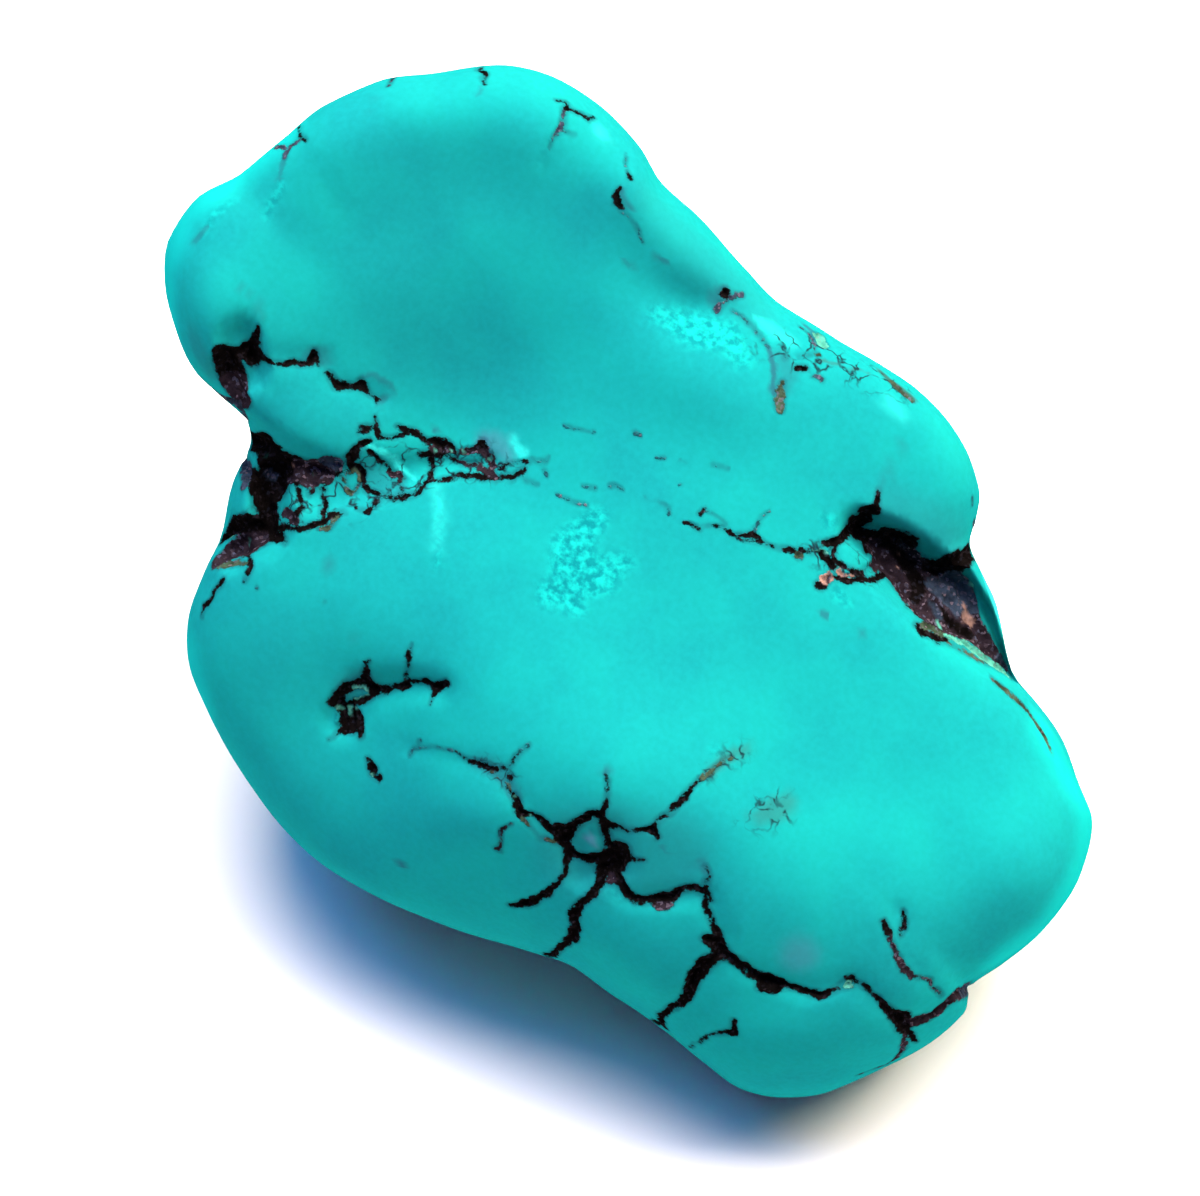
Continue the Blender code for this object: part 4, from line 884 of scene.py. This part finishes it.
def refined_ball(passes=9, evening=3):
    bm = bmesh.new()
    bmesh.ops.create_icosphere(bm, subdivisions=6, radius=1.0)
    for _ in range(passes):
        bm.verts.index_update()
        points = skin(directions_of(bm))
        ends = np.array([[e.verts[0].index, e.verts[1].index] for e in bm.edges])
        start, end = points[ends[:, 0]], points[ends[:, 1]]
        length = np.linalg.norm(start - end, axis=1)
        candidates = np.flatnonzero(length > VEIN_EDGE * 1.4)
        allowed = np.full(len(length), FAR)
        allowed[candidates] = edge_allowed((start[candidates] + end[candidates]) / 2)
        too_long = length > allowed * 1.4
        if not too_long.any():
            break
        long_edges = [e for e, is_long in zip(bm.edges, too_long) if is_long]
        bmesh.ops.subdivide_edges(bm, edges=long_edges, cuts=1)
        bmesh.ops.triangulate(bm, faces=[f for f in bm.faces if len(f.verts) > 3])
        for vert in bm.verts:
            vert.co.normalize()
    for _ in range(evening):
        bmesh.ops.smooth_vert(
            bm, verts=bm.verts, factor=0.5, use_axis_x=True, use_axis_y=True, use_axis_z=True
        )
        for vert in bm.verts:
            vert.co.normalize()
    return bm


ball = refined_ball()
print("the ball has", len(ball.faces), "triangles")

# %% [markdown]
# ## Carving
#
# The polish stops at the matrix, which is softer and wears lower. So the skin first rolls down into
# the broad hollows, then drops at a filling's edge, less in a hairline than in a pocket, and the
# floor of a pocket is rough and crystalline. Islands are worn less, and frosted patches are pitted.

# %% Carve the hollows, the fillings and the pits along the skin's normals
MATRIX_DROP = 0.34
ROUGH_FLOOR = 0.16
FROST_DROP = 0.035
UNEVENNESS = 0.05


def rough(points, size):
    """Crumbly noise between about -1 and 1, whose lumps are this many mm across."""
    return np.array([noise.fractal(Vector(p / size), 0.9, 2.1, 3) for p in points])


directions = directions_of(ball)
bare_skin = skin(directions)
drawn = shaken(bare_skin)
gap, nearest_filling = matrix_gap(drawn)
stain_and_painted_light, nearest_stain_and_painted_light, _ = stains_and_painted_light_at(drawn)
frost = 0.9 * (1.0 - smooth_step(frost_gap(drawn), -0.45, 0.3))
crackle = np.zeros(len(drawn))
for softness, *laid in laid_crackle:
    crackle = np.maximum(crackle, 1.0 - smooth_step(gap_to_stroke(drawn, *laid), -0.1, softness))

sunk = np.zeros(len(bare_skin))
for side, hollow_depth, wall, *laid in laid_hollows:
    inwards = -1.0 if side == "front" else 1.0
    here = hollow_depth * smooth_step(-gap_to_stroke(bare_skin, *laid), -wall, 0.3)
    here *= smooth_step(-inwards * directions[:, 2], -0.15, 0.2)
    sunk = np.where(here > np.abs(sunk), inwards * here, sunk)
island = np.min([gap_to_stroke(drawn, *laid) for laid in laid_islands], axis=0)
sunk *= 1.0 - 0.55 * smooth_step(-island, -0.1, 0.15)
depth = MATRIX_DROP * smooth_step(-gap, -0.06, 0.32)
inside = smooth_step(-gap, 0.0, 0.25)
depth += ROUGH_FLOOR * inside * rough(bare_skin, 0.5)
depth += UNEVENNESS * np.array([noise.noise(Vector(p / 2.4)) for p in bare_skin])
depth += FROST_DROP * frost * (0.6 + rough(bare_skin, 0.22))
carved = bare_skin - normals_of(directions, skin) * depth[:, None]
carved[:, 2] += sunk
print("deepest hollow:", round(float(np.abs(sunk).max()), 2), "mm")

# %% [markdown]
# ## Standing the stone up
#
# A nugget lies where gravity lets it: here on its deep back, with the face tilted up towards us.
# Years in a tumbler have worn a small flat there. We turn the face frame into the table's frame,
# press the lowest part flat with a rounded edge, and put the origin under the middle of the stone.

# %% Turn, wear flat and centre
FACE_TILT_DEG, TURN_DEG = 60.0, 34.0
WEAR_DEPTH, WEAR_ROUNDING = 1.9, 0.8


def stood_up(points):
    """Face frame to table frame: the face tilts back and the stone turns about Z."""
    tilt, turn = math.radians(FACE_TILT_DEG), math.radians(TURN_DEG)
    u, v, w = points.T
    y = v * math.sin(tilt) - w * math.cos(tilt)
    z = v * math.cos(tilt) + w * math.sin(tilt)
    return np.stack([u * math.cos(turn) - y * math.sin(turn), u * math.sin(turn) + y * math.cos(turn), z], axis=1)


def worn_flat(points):
    """Wears the lowest part of the stone down to a flat spot with a rounded edge."""
    table = points[:, 2].min() + WEAR_DEPTH
    t = (points[:, 2] - table) / WEAR_ROUNDING
    rounded = np.where(t > 1, t, np.where(t < -1, 0.0, ((t + 1) / 2) ** 2))
    points[:, 2] = table + rounded * WEAR_ROUNDING
    return points


stone_points = worn_flat(stood_up(carved))
low, high = stone_points.min(axis=0), stone_points.max(axis=0)
face_origin = -np.array([(low[0] + high[0]) / 2, (low[1] + high[1]) / 2, low[2]])
stone_points += face_origin
print("the stone measures", (high - low).round(2), "mm")

# %% [markdown]
# ## The mesh and what it knows
#
# The mesh keeps what the strokes said as named attributes: the gap in mm, the colour of the
# filling, the stains with their painted shade and highlights, and the frost. A gap is better than a
# painted black-and-white mask: it runs evenly across a triangle, so the shader can cut a crisp edge
# anywhere inside it.

# %% Make the stone and store its attributes
TINTS = {
    "black": linear("#090707"),
    "brown": linear("#1E181E"),
    # Slate, tan and mint also colour the painted glints among the crystals.
    "slate": linear("#27313F"),
    "olive": linear("#2C3A2E"),
    "tan": linear("#785F58"),
    "mint": linear("#3C8576"),
    # Dark teal for stains, and for painted shade.
    "deep": linear("#1B5560"),
    # Grey-blue for stains, and for painted shade on the star's island.
    "purple": linear("#435578"),
    # Paler turquoise for painted rim light.
    "pale": linear("#0CA8A2"),
    # Bright turquoise for painted highlights.
    "chalk": linear("#30D0C8"),
    "hairline": linear("#16464F"),
}

FLECKED = {"black": 0.12, "mint": 0.4, "tan": 0.5}
tints_with_flecks = {tint: np.array([*colour[:3], FLECKED.get(tint, 1.0)]) for tint, colour in TINTS.items()}
filling_tint = np.array([tints_with_flecks[tint] for tint, *_ in laid_fillings])[nearest_filling]
# Crystals and painted glints are laid over the filling colour.
for tint, *laid in laid_crystals_and_glints:
    on_it = 1.0 - smooth_step(gap_to_stroke(drawn, *laid), -0.01, 0.05)
    filling_tint += (tints_with_flecks[tint] - filling_tint) * on_it[:, None]
stain_and_painted_light_tint = np.array([TINTS[tint] for tint, *_ in laid_stains_and_painted_light])[nearest_stain_and_painted_light]
stain_and_painted_light_tint[:, 3] = stain_and_painted_light

for vert, point in zip(ball.verts, stone_points):
    vert.co = Vector(point * MM)
stone_mesh = bpy.data.meshes.new("turquoise_stone")
ball.to_mesh(stone_mesh)
ball.free()
stone_mesh.shade_smooth()
for name, values in (("matrix_gap", np.clip(gap, -1.5, 1.5)), ("frost", frost), ("crackle", crackle)):
    stone_mesh.attributes.new(name, "FLOAT", "POINT").data.foreach_set("value", values.astype(np.float32))
for name, values in (("filling", filling_tint), ("stain_and_painted_light", stain_and_painted_light_tint)):
    layer = stone_mesh.attributes.new(name, "FLOAT_COLOR", "POINT")
    layer.data.foreach_set("color", values.astype(np.float32).ravel())
stone = bpy.data.objects.new("turquoise_stone", stone_mesh)
bpy.context.scene.collection.objects.link(stone)
print("the stone has", len(stone_mesh.polygons), "triangles")

# %% [markdown]
# ## Polished turquoise
#
# Turquoise is a waxy, opaque phosphate, soft enough that its polish is a soft sheen and not glass:
# IOR 1.61, roughness about 0.35. Its colour drifts over a few millimetres between greener and
# bluer, with fine chalky grains. Round a vein the stone is darker: partly the vein's soft edge,
# partly painted shade where the skin drops into the vein. The matrix is dull and black-brown with
# paler flecks, partly painted glints. One material holds it all, because the real thing is one
# stone and the borders have to be crisp.


# %% One helper that adds a node
def add_node(tree, kind, inputs, **settings):
    """Adds a node, sets its options, and fills its inputs with values or with other nodes' outputs."""
    node = tree.nodes.new("ShaderNode" + kind)
    for name, value in settings.items():
        setattr(node, name, value)
    for key, value in inputs.items():
        if isinstance(value, bpy.types.NodeSocket):
            tree.links.new(value, node.inputs[key])
        else:
            node.inputs[key].default_value = value
    return node


FACTOR, MIX_A, MIX_B, MIXED = 0, 6, 7, 2
polished_turquoise = bpy.data.materials.new("polished_turquoise")
polished_turquoise.use_nodes = True
tree = polished_turquoise.node_tree
shader = tree.nodes["Principled BSDF"]
place = add_node(tree, "TexCoord", {}).outputs["Object"]
gap_here = add_node(tree, "Attribute", {}, attribute_name="matrix_gap").outputs["Fac"]
frost_here = add_node(tree, "Attribute", {}, attribute_name="frost").outputs["Fac"]
filling_node = add_node(tree, "Attribute", {}, attribute_name="filling")
filling_here = filling_node.outputs["Color"]
stain_and_painted_light_node = add_node(tree, "Attribute", {}, attribute_name="stain_and_painted_light")
crackle_here = add_node(tree, "Attribute", {}, attribute_name="crackle").outputs["Fac"]
print("attributes read:", [a.name for a in stone_mesh.attributes if not a.name.startswith(".")])

# %% The turquoise itself: drift, grains, vein margins with painted shade, and frost with painted sparkle
DRIFT_SIZE, GRAIN_SIZE = 3.5, 0.22
drift = add_node(tree, "TexNoise", {"Vector": place, "Scale": 1 / (DRIFT_SIZE * MM), "Detail": 3.0}).outputs["Fac"]
grain = add_node(tree, "TexNoise", {"Vector": place, "Scale": 1 / (GRAIN_SIZE * MM), "Detail": 2.0}).outputs["Fac"]
drifted = add_node(tree, "MapRange", {"Value": drift, "From Min": 0.3, "From Max": 0.7}).outputs["Result"]
body = add_node(
    tree, "Mix", {FACTOR: drifted, MIX_A: linear("#0E777A"), MIX_B: linear("#0E8581")}, data_type="RGBA"
).outputs[MIXED]
grained = add_node(
    tree, "MapRange", {"Value": grain, "From Min": 0.3, "From Max": 0.7, "To Min": 0.0, "To Max": 0.2}
).outputs["Result"]
body = add_node(tree, "Mix", {FACTOR: grained, MIX_A: body, MIX_B: linear("#14989A")}, data_type="RGBA").outputs[MIXED]

# Painted sparkle: the frosted patches get lighter and darker specks where the pitted skin would glitter.
frost_dots = add_node(tree, "TexNoise", {"Vector": place, "Scale": 1 / (0.26 * MM), "Detail": 3.0}).outputs["Fac"]
frost_dots = add_node(tree, "MapRange", {"Value": frost_dots, "From Min": 0.38, "From Max": 0.62}).outputs["Result"]
frosted = add_node(tree, "Math", {0: frost_dots, 1: frost_here}, operation="MULTIPLY").outputs[0]
frost_sparkle_tint = add_node(
    tree, "Mix", {FACTOR: frost_dots, MIX_A: linear("#076E73"), MIX_B: linear("#10A09A")}, data_type="RGBA"
).outputs[MIXED]
body = add_node(tree, "Mix", {FACTOR: frost_here, MIX_A: body, MIX_B: frost_sparkle_tint}, data_type="RGBA").outputs[MIXED]

# Round each vein the skin goes darker: partly the vein's soft edge, partly painted shade where the skin drops into it.
HALO_WIDTH, HALO_STRENGTH = 0.2, 0.5
vein_margin_and_shade = add_node(
    tree, "MapRange",
    {"Value": gap_here, "From Min": 0.0, "From Max": HALO_WIDTH, "To Min": HALO_STRENGTH, "To Max": 0.0},
    interpolation_type="SMOOTHERSTEP",
).outputs["Result"]
body = add_node(tree, "Mix", {FACTOR: vein_margin_and_shade, MIX_A: body, MIX_B: linear("#123F49")}, data_type="RGBA").outputs[MIXED]
# The stains bring their own colour and also painted shade and painted highlights.
body = add_node(
    tree, "Mix", {FACTOR: stain_and_painted_light_node.outputs["Alpha"], MIX_A: body, MIX_B: stain_and_painted_light_node.outputs["Color"]},
    data_type="RGBA",
).outputs[MIXED]

CRACK_SPACING, CRACK_WIDTH = 0.8, 0.08
bend = add_node(tree, "TexNoise", {"Vector": place, "Scale": 1 / (0.6 * MM), "Detail": 2.0}).outputs["Color"]
bend = add_node(tree, "VectorMath", {0: bend, "Scale": 0.9 * MM}, operation="SCALE").outputs["Vector"]
bent = add_node(tree, "VectorMath", {0: place, 1: bend}, operation="ADD").outputs["Vector"]
crack = add_node(
    tree, "TexVoronoi", {"Vector": bent, "Scale": 1 / (CRACK_SPACING * MM)}, feature="DISTANCE_TO_EDGE"
).outputs["Distance"]
crack = add_node(
    tree, "MapRange", {"Value": crack, "From Min": CRACK_WIDTH / CRACK_SPACING, "From Max": 0.0},
    interpolation_type="SMOOTHSTEP",
).outputs["Result"]
broken = add_node(tree, "TexNoise", {"Vector": bent, "Scale": 1 / (0.5 * MM), "Detail": 2.0}).outputs["Fac"]
broken = add_node(tree, "MapRange", {"Value": broken, "From Min": 0.4, "From Max": 0.56}).outputs["Result"]
crack = add_node(tree, "Math", {0: crack, 1: broken}, operation="MULTIPLY").outputs[0]
crack = add_node(tree, "Math", {0: crack, 1: crackle_here}, operation="MULTIPLY").outputs[0]
body = add_node(tree, "Mix", {FACTOR: crack, MIX_A: body, MIX_B: linear("#10242C")}, data_type="RGBA").outputs[MIXED]
print("the stone's colour drifts over", DRIFT_SIZE, "mm, with grains of", GRAIN_SIZE, "mm")

# %% The matrix: mottled, with paler flecks, partly painted glints
FLECK_SIZE = 0.11
mottle = add_node(tree, "TexNoise", {"Vector": place, "Scale": 1 / (0.45 * MM), "Detail": 4.0}).outputs["Fac"]
mottled = add_node(
    tree, "MapRange", {"Value": mottle, "From Min": 0.35, "From Max": 0.7, "To Min": 0.6, "To Max": 1.6}
).outputs["Result"]
filling = add_node(
    tree, "VectorMath", {0: filling_here, "Scale": mottled}, operation="SCALE"
).outputs["Vector"]
# Paler flecks on the matrix: partly pale mineral specks, partly painted glints.
fleck = add_node(tree, "TexVoronoi", {"Vector": place, "Scale": 1 / (FLECK_SIZE * MM)}).outputs["Color"]
fleck = add_node(tree, "SeparateColor", {"Color": fleck})
is_fleck = add_node(
    tree, "MapRange", {"Value": fleck.outputs["Red"], "From Min": 0.78, "From Max": 1.0, "To Max": 0.6}
).outputs["Result"]
is_fleck = add_node(tree, "Math", {0: is_fleck, 1: filling_node.outputs["Alpha"]}, operation="MULTIPLY").outputs[0]
fleck_and_glint_tint = add_node(
    tree, "Mix", {FACTOR: fleck.outputs["Green"], MIX_A: linear("#4A5268"), MIX_B: linear("#685A64")},
    data_type="RGBA",
).outputs[MIXED]
filling = add_node(
    tree, "Mix", {FACTOR: is_fleck, MIX_A: filling, MIX_B: fleck_and_glint_tint}, data_type="RGBA"
).outputs[MIXED]

edge_noise = add_node(
    tree, "TexNoise", {"Vector": place, "Scale": 1 / (0.34 * MM), "Detail": 4.0, "Roughness": 0.65}
).outputs["Fac"]
wobble = add_node(
    tree, "MapRange", {"Value": edge_noise, "From Min": 0.0, "From Max": 1.0, "To Min": -0.2, "To Max": 0.16}
).outputs["Result"]
ragged_gap = add_node(tree, "Math", {0: gap_here, 1: wobble}, operation="ADD").outputs[0]
is_matrix = add_node(
    tree, "MapRange", {"Value": ragged_gap, "From Min": 0.035, "From Max": -0.02}, interpolation_type="SMOOTHSTEP"
).outputs["Result"]
colour = add_node(tree, "Mix", {FACTOR: is_matrix, MIX_A: body, MIX_B: filling}, data_type="RGBA").outputs[MIXED]
tree.links.new(colour, shader.inputs["Base Color"])
print("matrix flecks of", FLECK_SIZE, "mm")

# %% Polish: waxy on the turquoise, dull on the matrix and the frost
roughness = add_node(
    tree, "MapRange", {"Value": frosted, "From Min": 0.0, "From Max": 1.0, "To Min": 0.38, "To Max": 0.5}
).outputs["Result"]
roughness = add_node(
    tree, "Mix", {FACTOR: is_matrix, 2: roughness, 3: 0.7}, data_type="FLOAT"
).outputs[0]
tree.links.new(roughness, shader.inputs["Roughness"])
shader.inputs["IOR"].default_value = 1.5
shader.inputs["Specular Tint"].default_value = linear("#40FFF8")
shader.inputs["Specular IOR Level"].default_value = 0.0

wax = add_node(tree, "TexNoise", {"Vector": place, "Scale": 1 / (0.7 * MM), "Detail": 2.0}).outputs["Fac"]
bump = add_node(tree, "Bump", {"Height": wax, "Strength": 0.35, "Distance": 0.012 * MM})
grit = add_node(tree, "TexNoise", {"Vector": place, "Scale": 1 / (0.14 * MM), "Detail": 3.0}).outputs["Fac"]
grit = add_node(tree, "Math", {0: grit, 1: is_matrix}, operation="MULTIPLY").outputs[0]
bump = add_node(
    tree, "Bump", {"Height": grit, "Strength": 0.8, "Distance": 0.08 * MM, "Normal": bump.outputs["Normal"]}
)
pits = add_node(tree, "Math", {0: frost_dots, 1: frost_here}, operation="MULTIPLY").outputs[0]
bump = add_node(
    tree, "Bump", {"Height": pits, "Strength": 0.5, "Distance": 0.03 * MM, "Normal": bump.outputs["Normal"]}
)
tree.links.new(bump.outputs["Normal"], shader.inputs["Normal"])
stone_mesh.materials.append(polished_turquoise)
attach(stone, "root")
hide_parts("turquoise_nugget")
print("the stone stands for the frame's solid")

# %% [markdown]
# ## Table, light and camera
#
# A small stone is shown on plain white card under one large soft lamp. The lamp stands high and
# behind the camera, so the rims that face it glow and the shadow falls in front. The camera looks
# square on to the stone's face through a long lens, which keeps the outline free of perspective.

# %% White card
card_mesh = bpy.data.meshes.new("white_card")
card = bmesh.new()
bmesh.ops.create_grid(card, x_segments=1, y_segments=1, size=1.0)
card.to_mesh(card_mesh)
card.free()
white_card = bpy.data.objects.new("white_card", card_mesh)
bpy.context.scene.collection.objects.link(white_card)
# Matt white card: a plain diffuse white with no gloss to speak of.
matt_card = bpy.data.materials.new("matt_white_card")
matt_card.use_nodes = True
card_shader = matt_card.node_tree.nodes["Principled BSDF"]
card_shader.inputs["Base Color"].default_value = linear("#F6F6F6")
card_shader.inputs["Roughness"].default_value = 0.8
card_mesh.materials.append(matt_card)
print("the card is 2 m square")


# %% Lamp and room light
def face_direction(u, v, w):
    """A direction of the face frame, in the table's frame."""
    return Vector(stood_up(np.array([[u, v, w]], float))[0])


def soft_lamp(name, direction, distance, width, height, watts, colour):
    """A soft oblong lamp, aimed at the stone, with its long side along the face's u."""
    lamp = bpy.data.lights.new(name, "AREA")
    lamp.shape = "RECTANGLE"
    lamp.size, lamp.size_y = width, height
    lamp.energy = watts
    lamp.color = linear(colour)[:3]
    holder = bpy.data.objects.new(name, lamp)
    towards = face_direction(*direction).normalized()
    along = face_direction(1, 0, 0)
    along = (along - towards * along.dot(towards)).normalized()
    placed = Matrix((along, towards.cross(along), towards)).transposed().to_4x4()
    placed.translation = Vector(face_origin * MM) + towards * distance
    holder.matrix_world = placed
    bpy.context.scene.collection.objects.link(holder)


soft_lamp("warm_softbox", (0.26, 0.75, 0.61), 0.40, 0.60, 0.33, 10.4, "#FFE6BC")
soft_lamp("blue_skylight", (0.00, 0.72, 0.70), 0.50, 0.90, 0.40, 5.6, "#50A0FF")
world = bpy.data.worlds.new("pale_room")
bpy.context.scene.world = world
world.use_nodes = True
direction = add_node(world.node_tree, "TexCoord", {}).outputs["Generated"]
height_seen = add_node(world.node_tree, "SeparateXYZ", {"Vector": direction}).outputs["Z"]
near_wall = add_node(
    world.node_tree, "MapRange", {"Value": height_seen, "From Min": 0.3, "From Max": 0.1},
    interpolation_type="SMOOTHSTEP",
).outputs["Result"]
room = add_node(
    world.node_tree, "Mix", {FACTOR: near_wall, MIX_A: linear("#443361"), MIX_B: linear("#ADA9B8")},
    data_type="RGBA",
).outputs[MIXED]
world.node_tree.links.new(room, world.node_tree.nodes["Background"].inputs["Color"])
world.node_tree.nodes["Background"].inputs["Strength"].default_value = 1.0
bpy.context.scene.view_settings.view_transform = "Standard"
print("one lamp and a pale room")

# %% Camera, square on to the face
CAMERA_DISTANCE = 0.30
PICTURE_WIDTH = 42.0 * MM
camera_data = bpy.data.cameras.new("face_camera")
camera_data.sensor_width = 36.0
camera_data.lens = camera_data.sensor_width * CAMERA_DISTANCE / PICTURE_WIDTH
camera_data.clip_start = 0.01
camera_data.clip_end = 10.0
camera = bpy.data.objects.new("face_camera", camera_data)
bpy.context.scene.collection.objects.link(camera)
right, up, out = face_direction(1, 0, 0), face_direction(0, 1, 0), face_direction(0, 0, 1)
camera_place = Matrix((right, up, out)).transposed().to_4x4()
camera_place.translation = Vector(face_origin * MM) + out * CAMERA_DISTANCE
camera.matrix_world = camera_place
bpy.context.scene.camera = camera
print("the lens is", round(camera_data.lens), "mm")
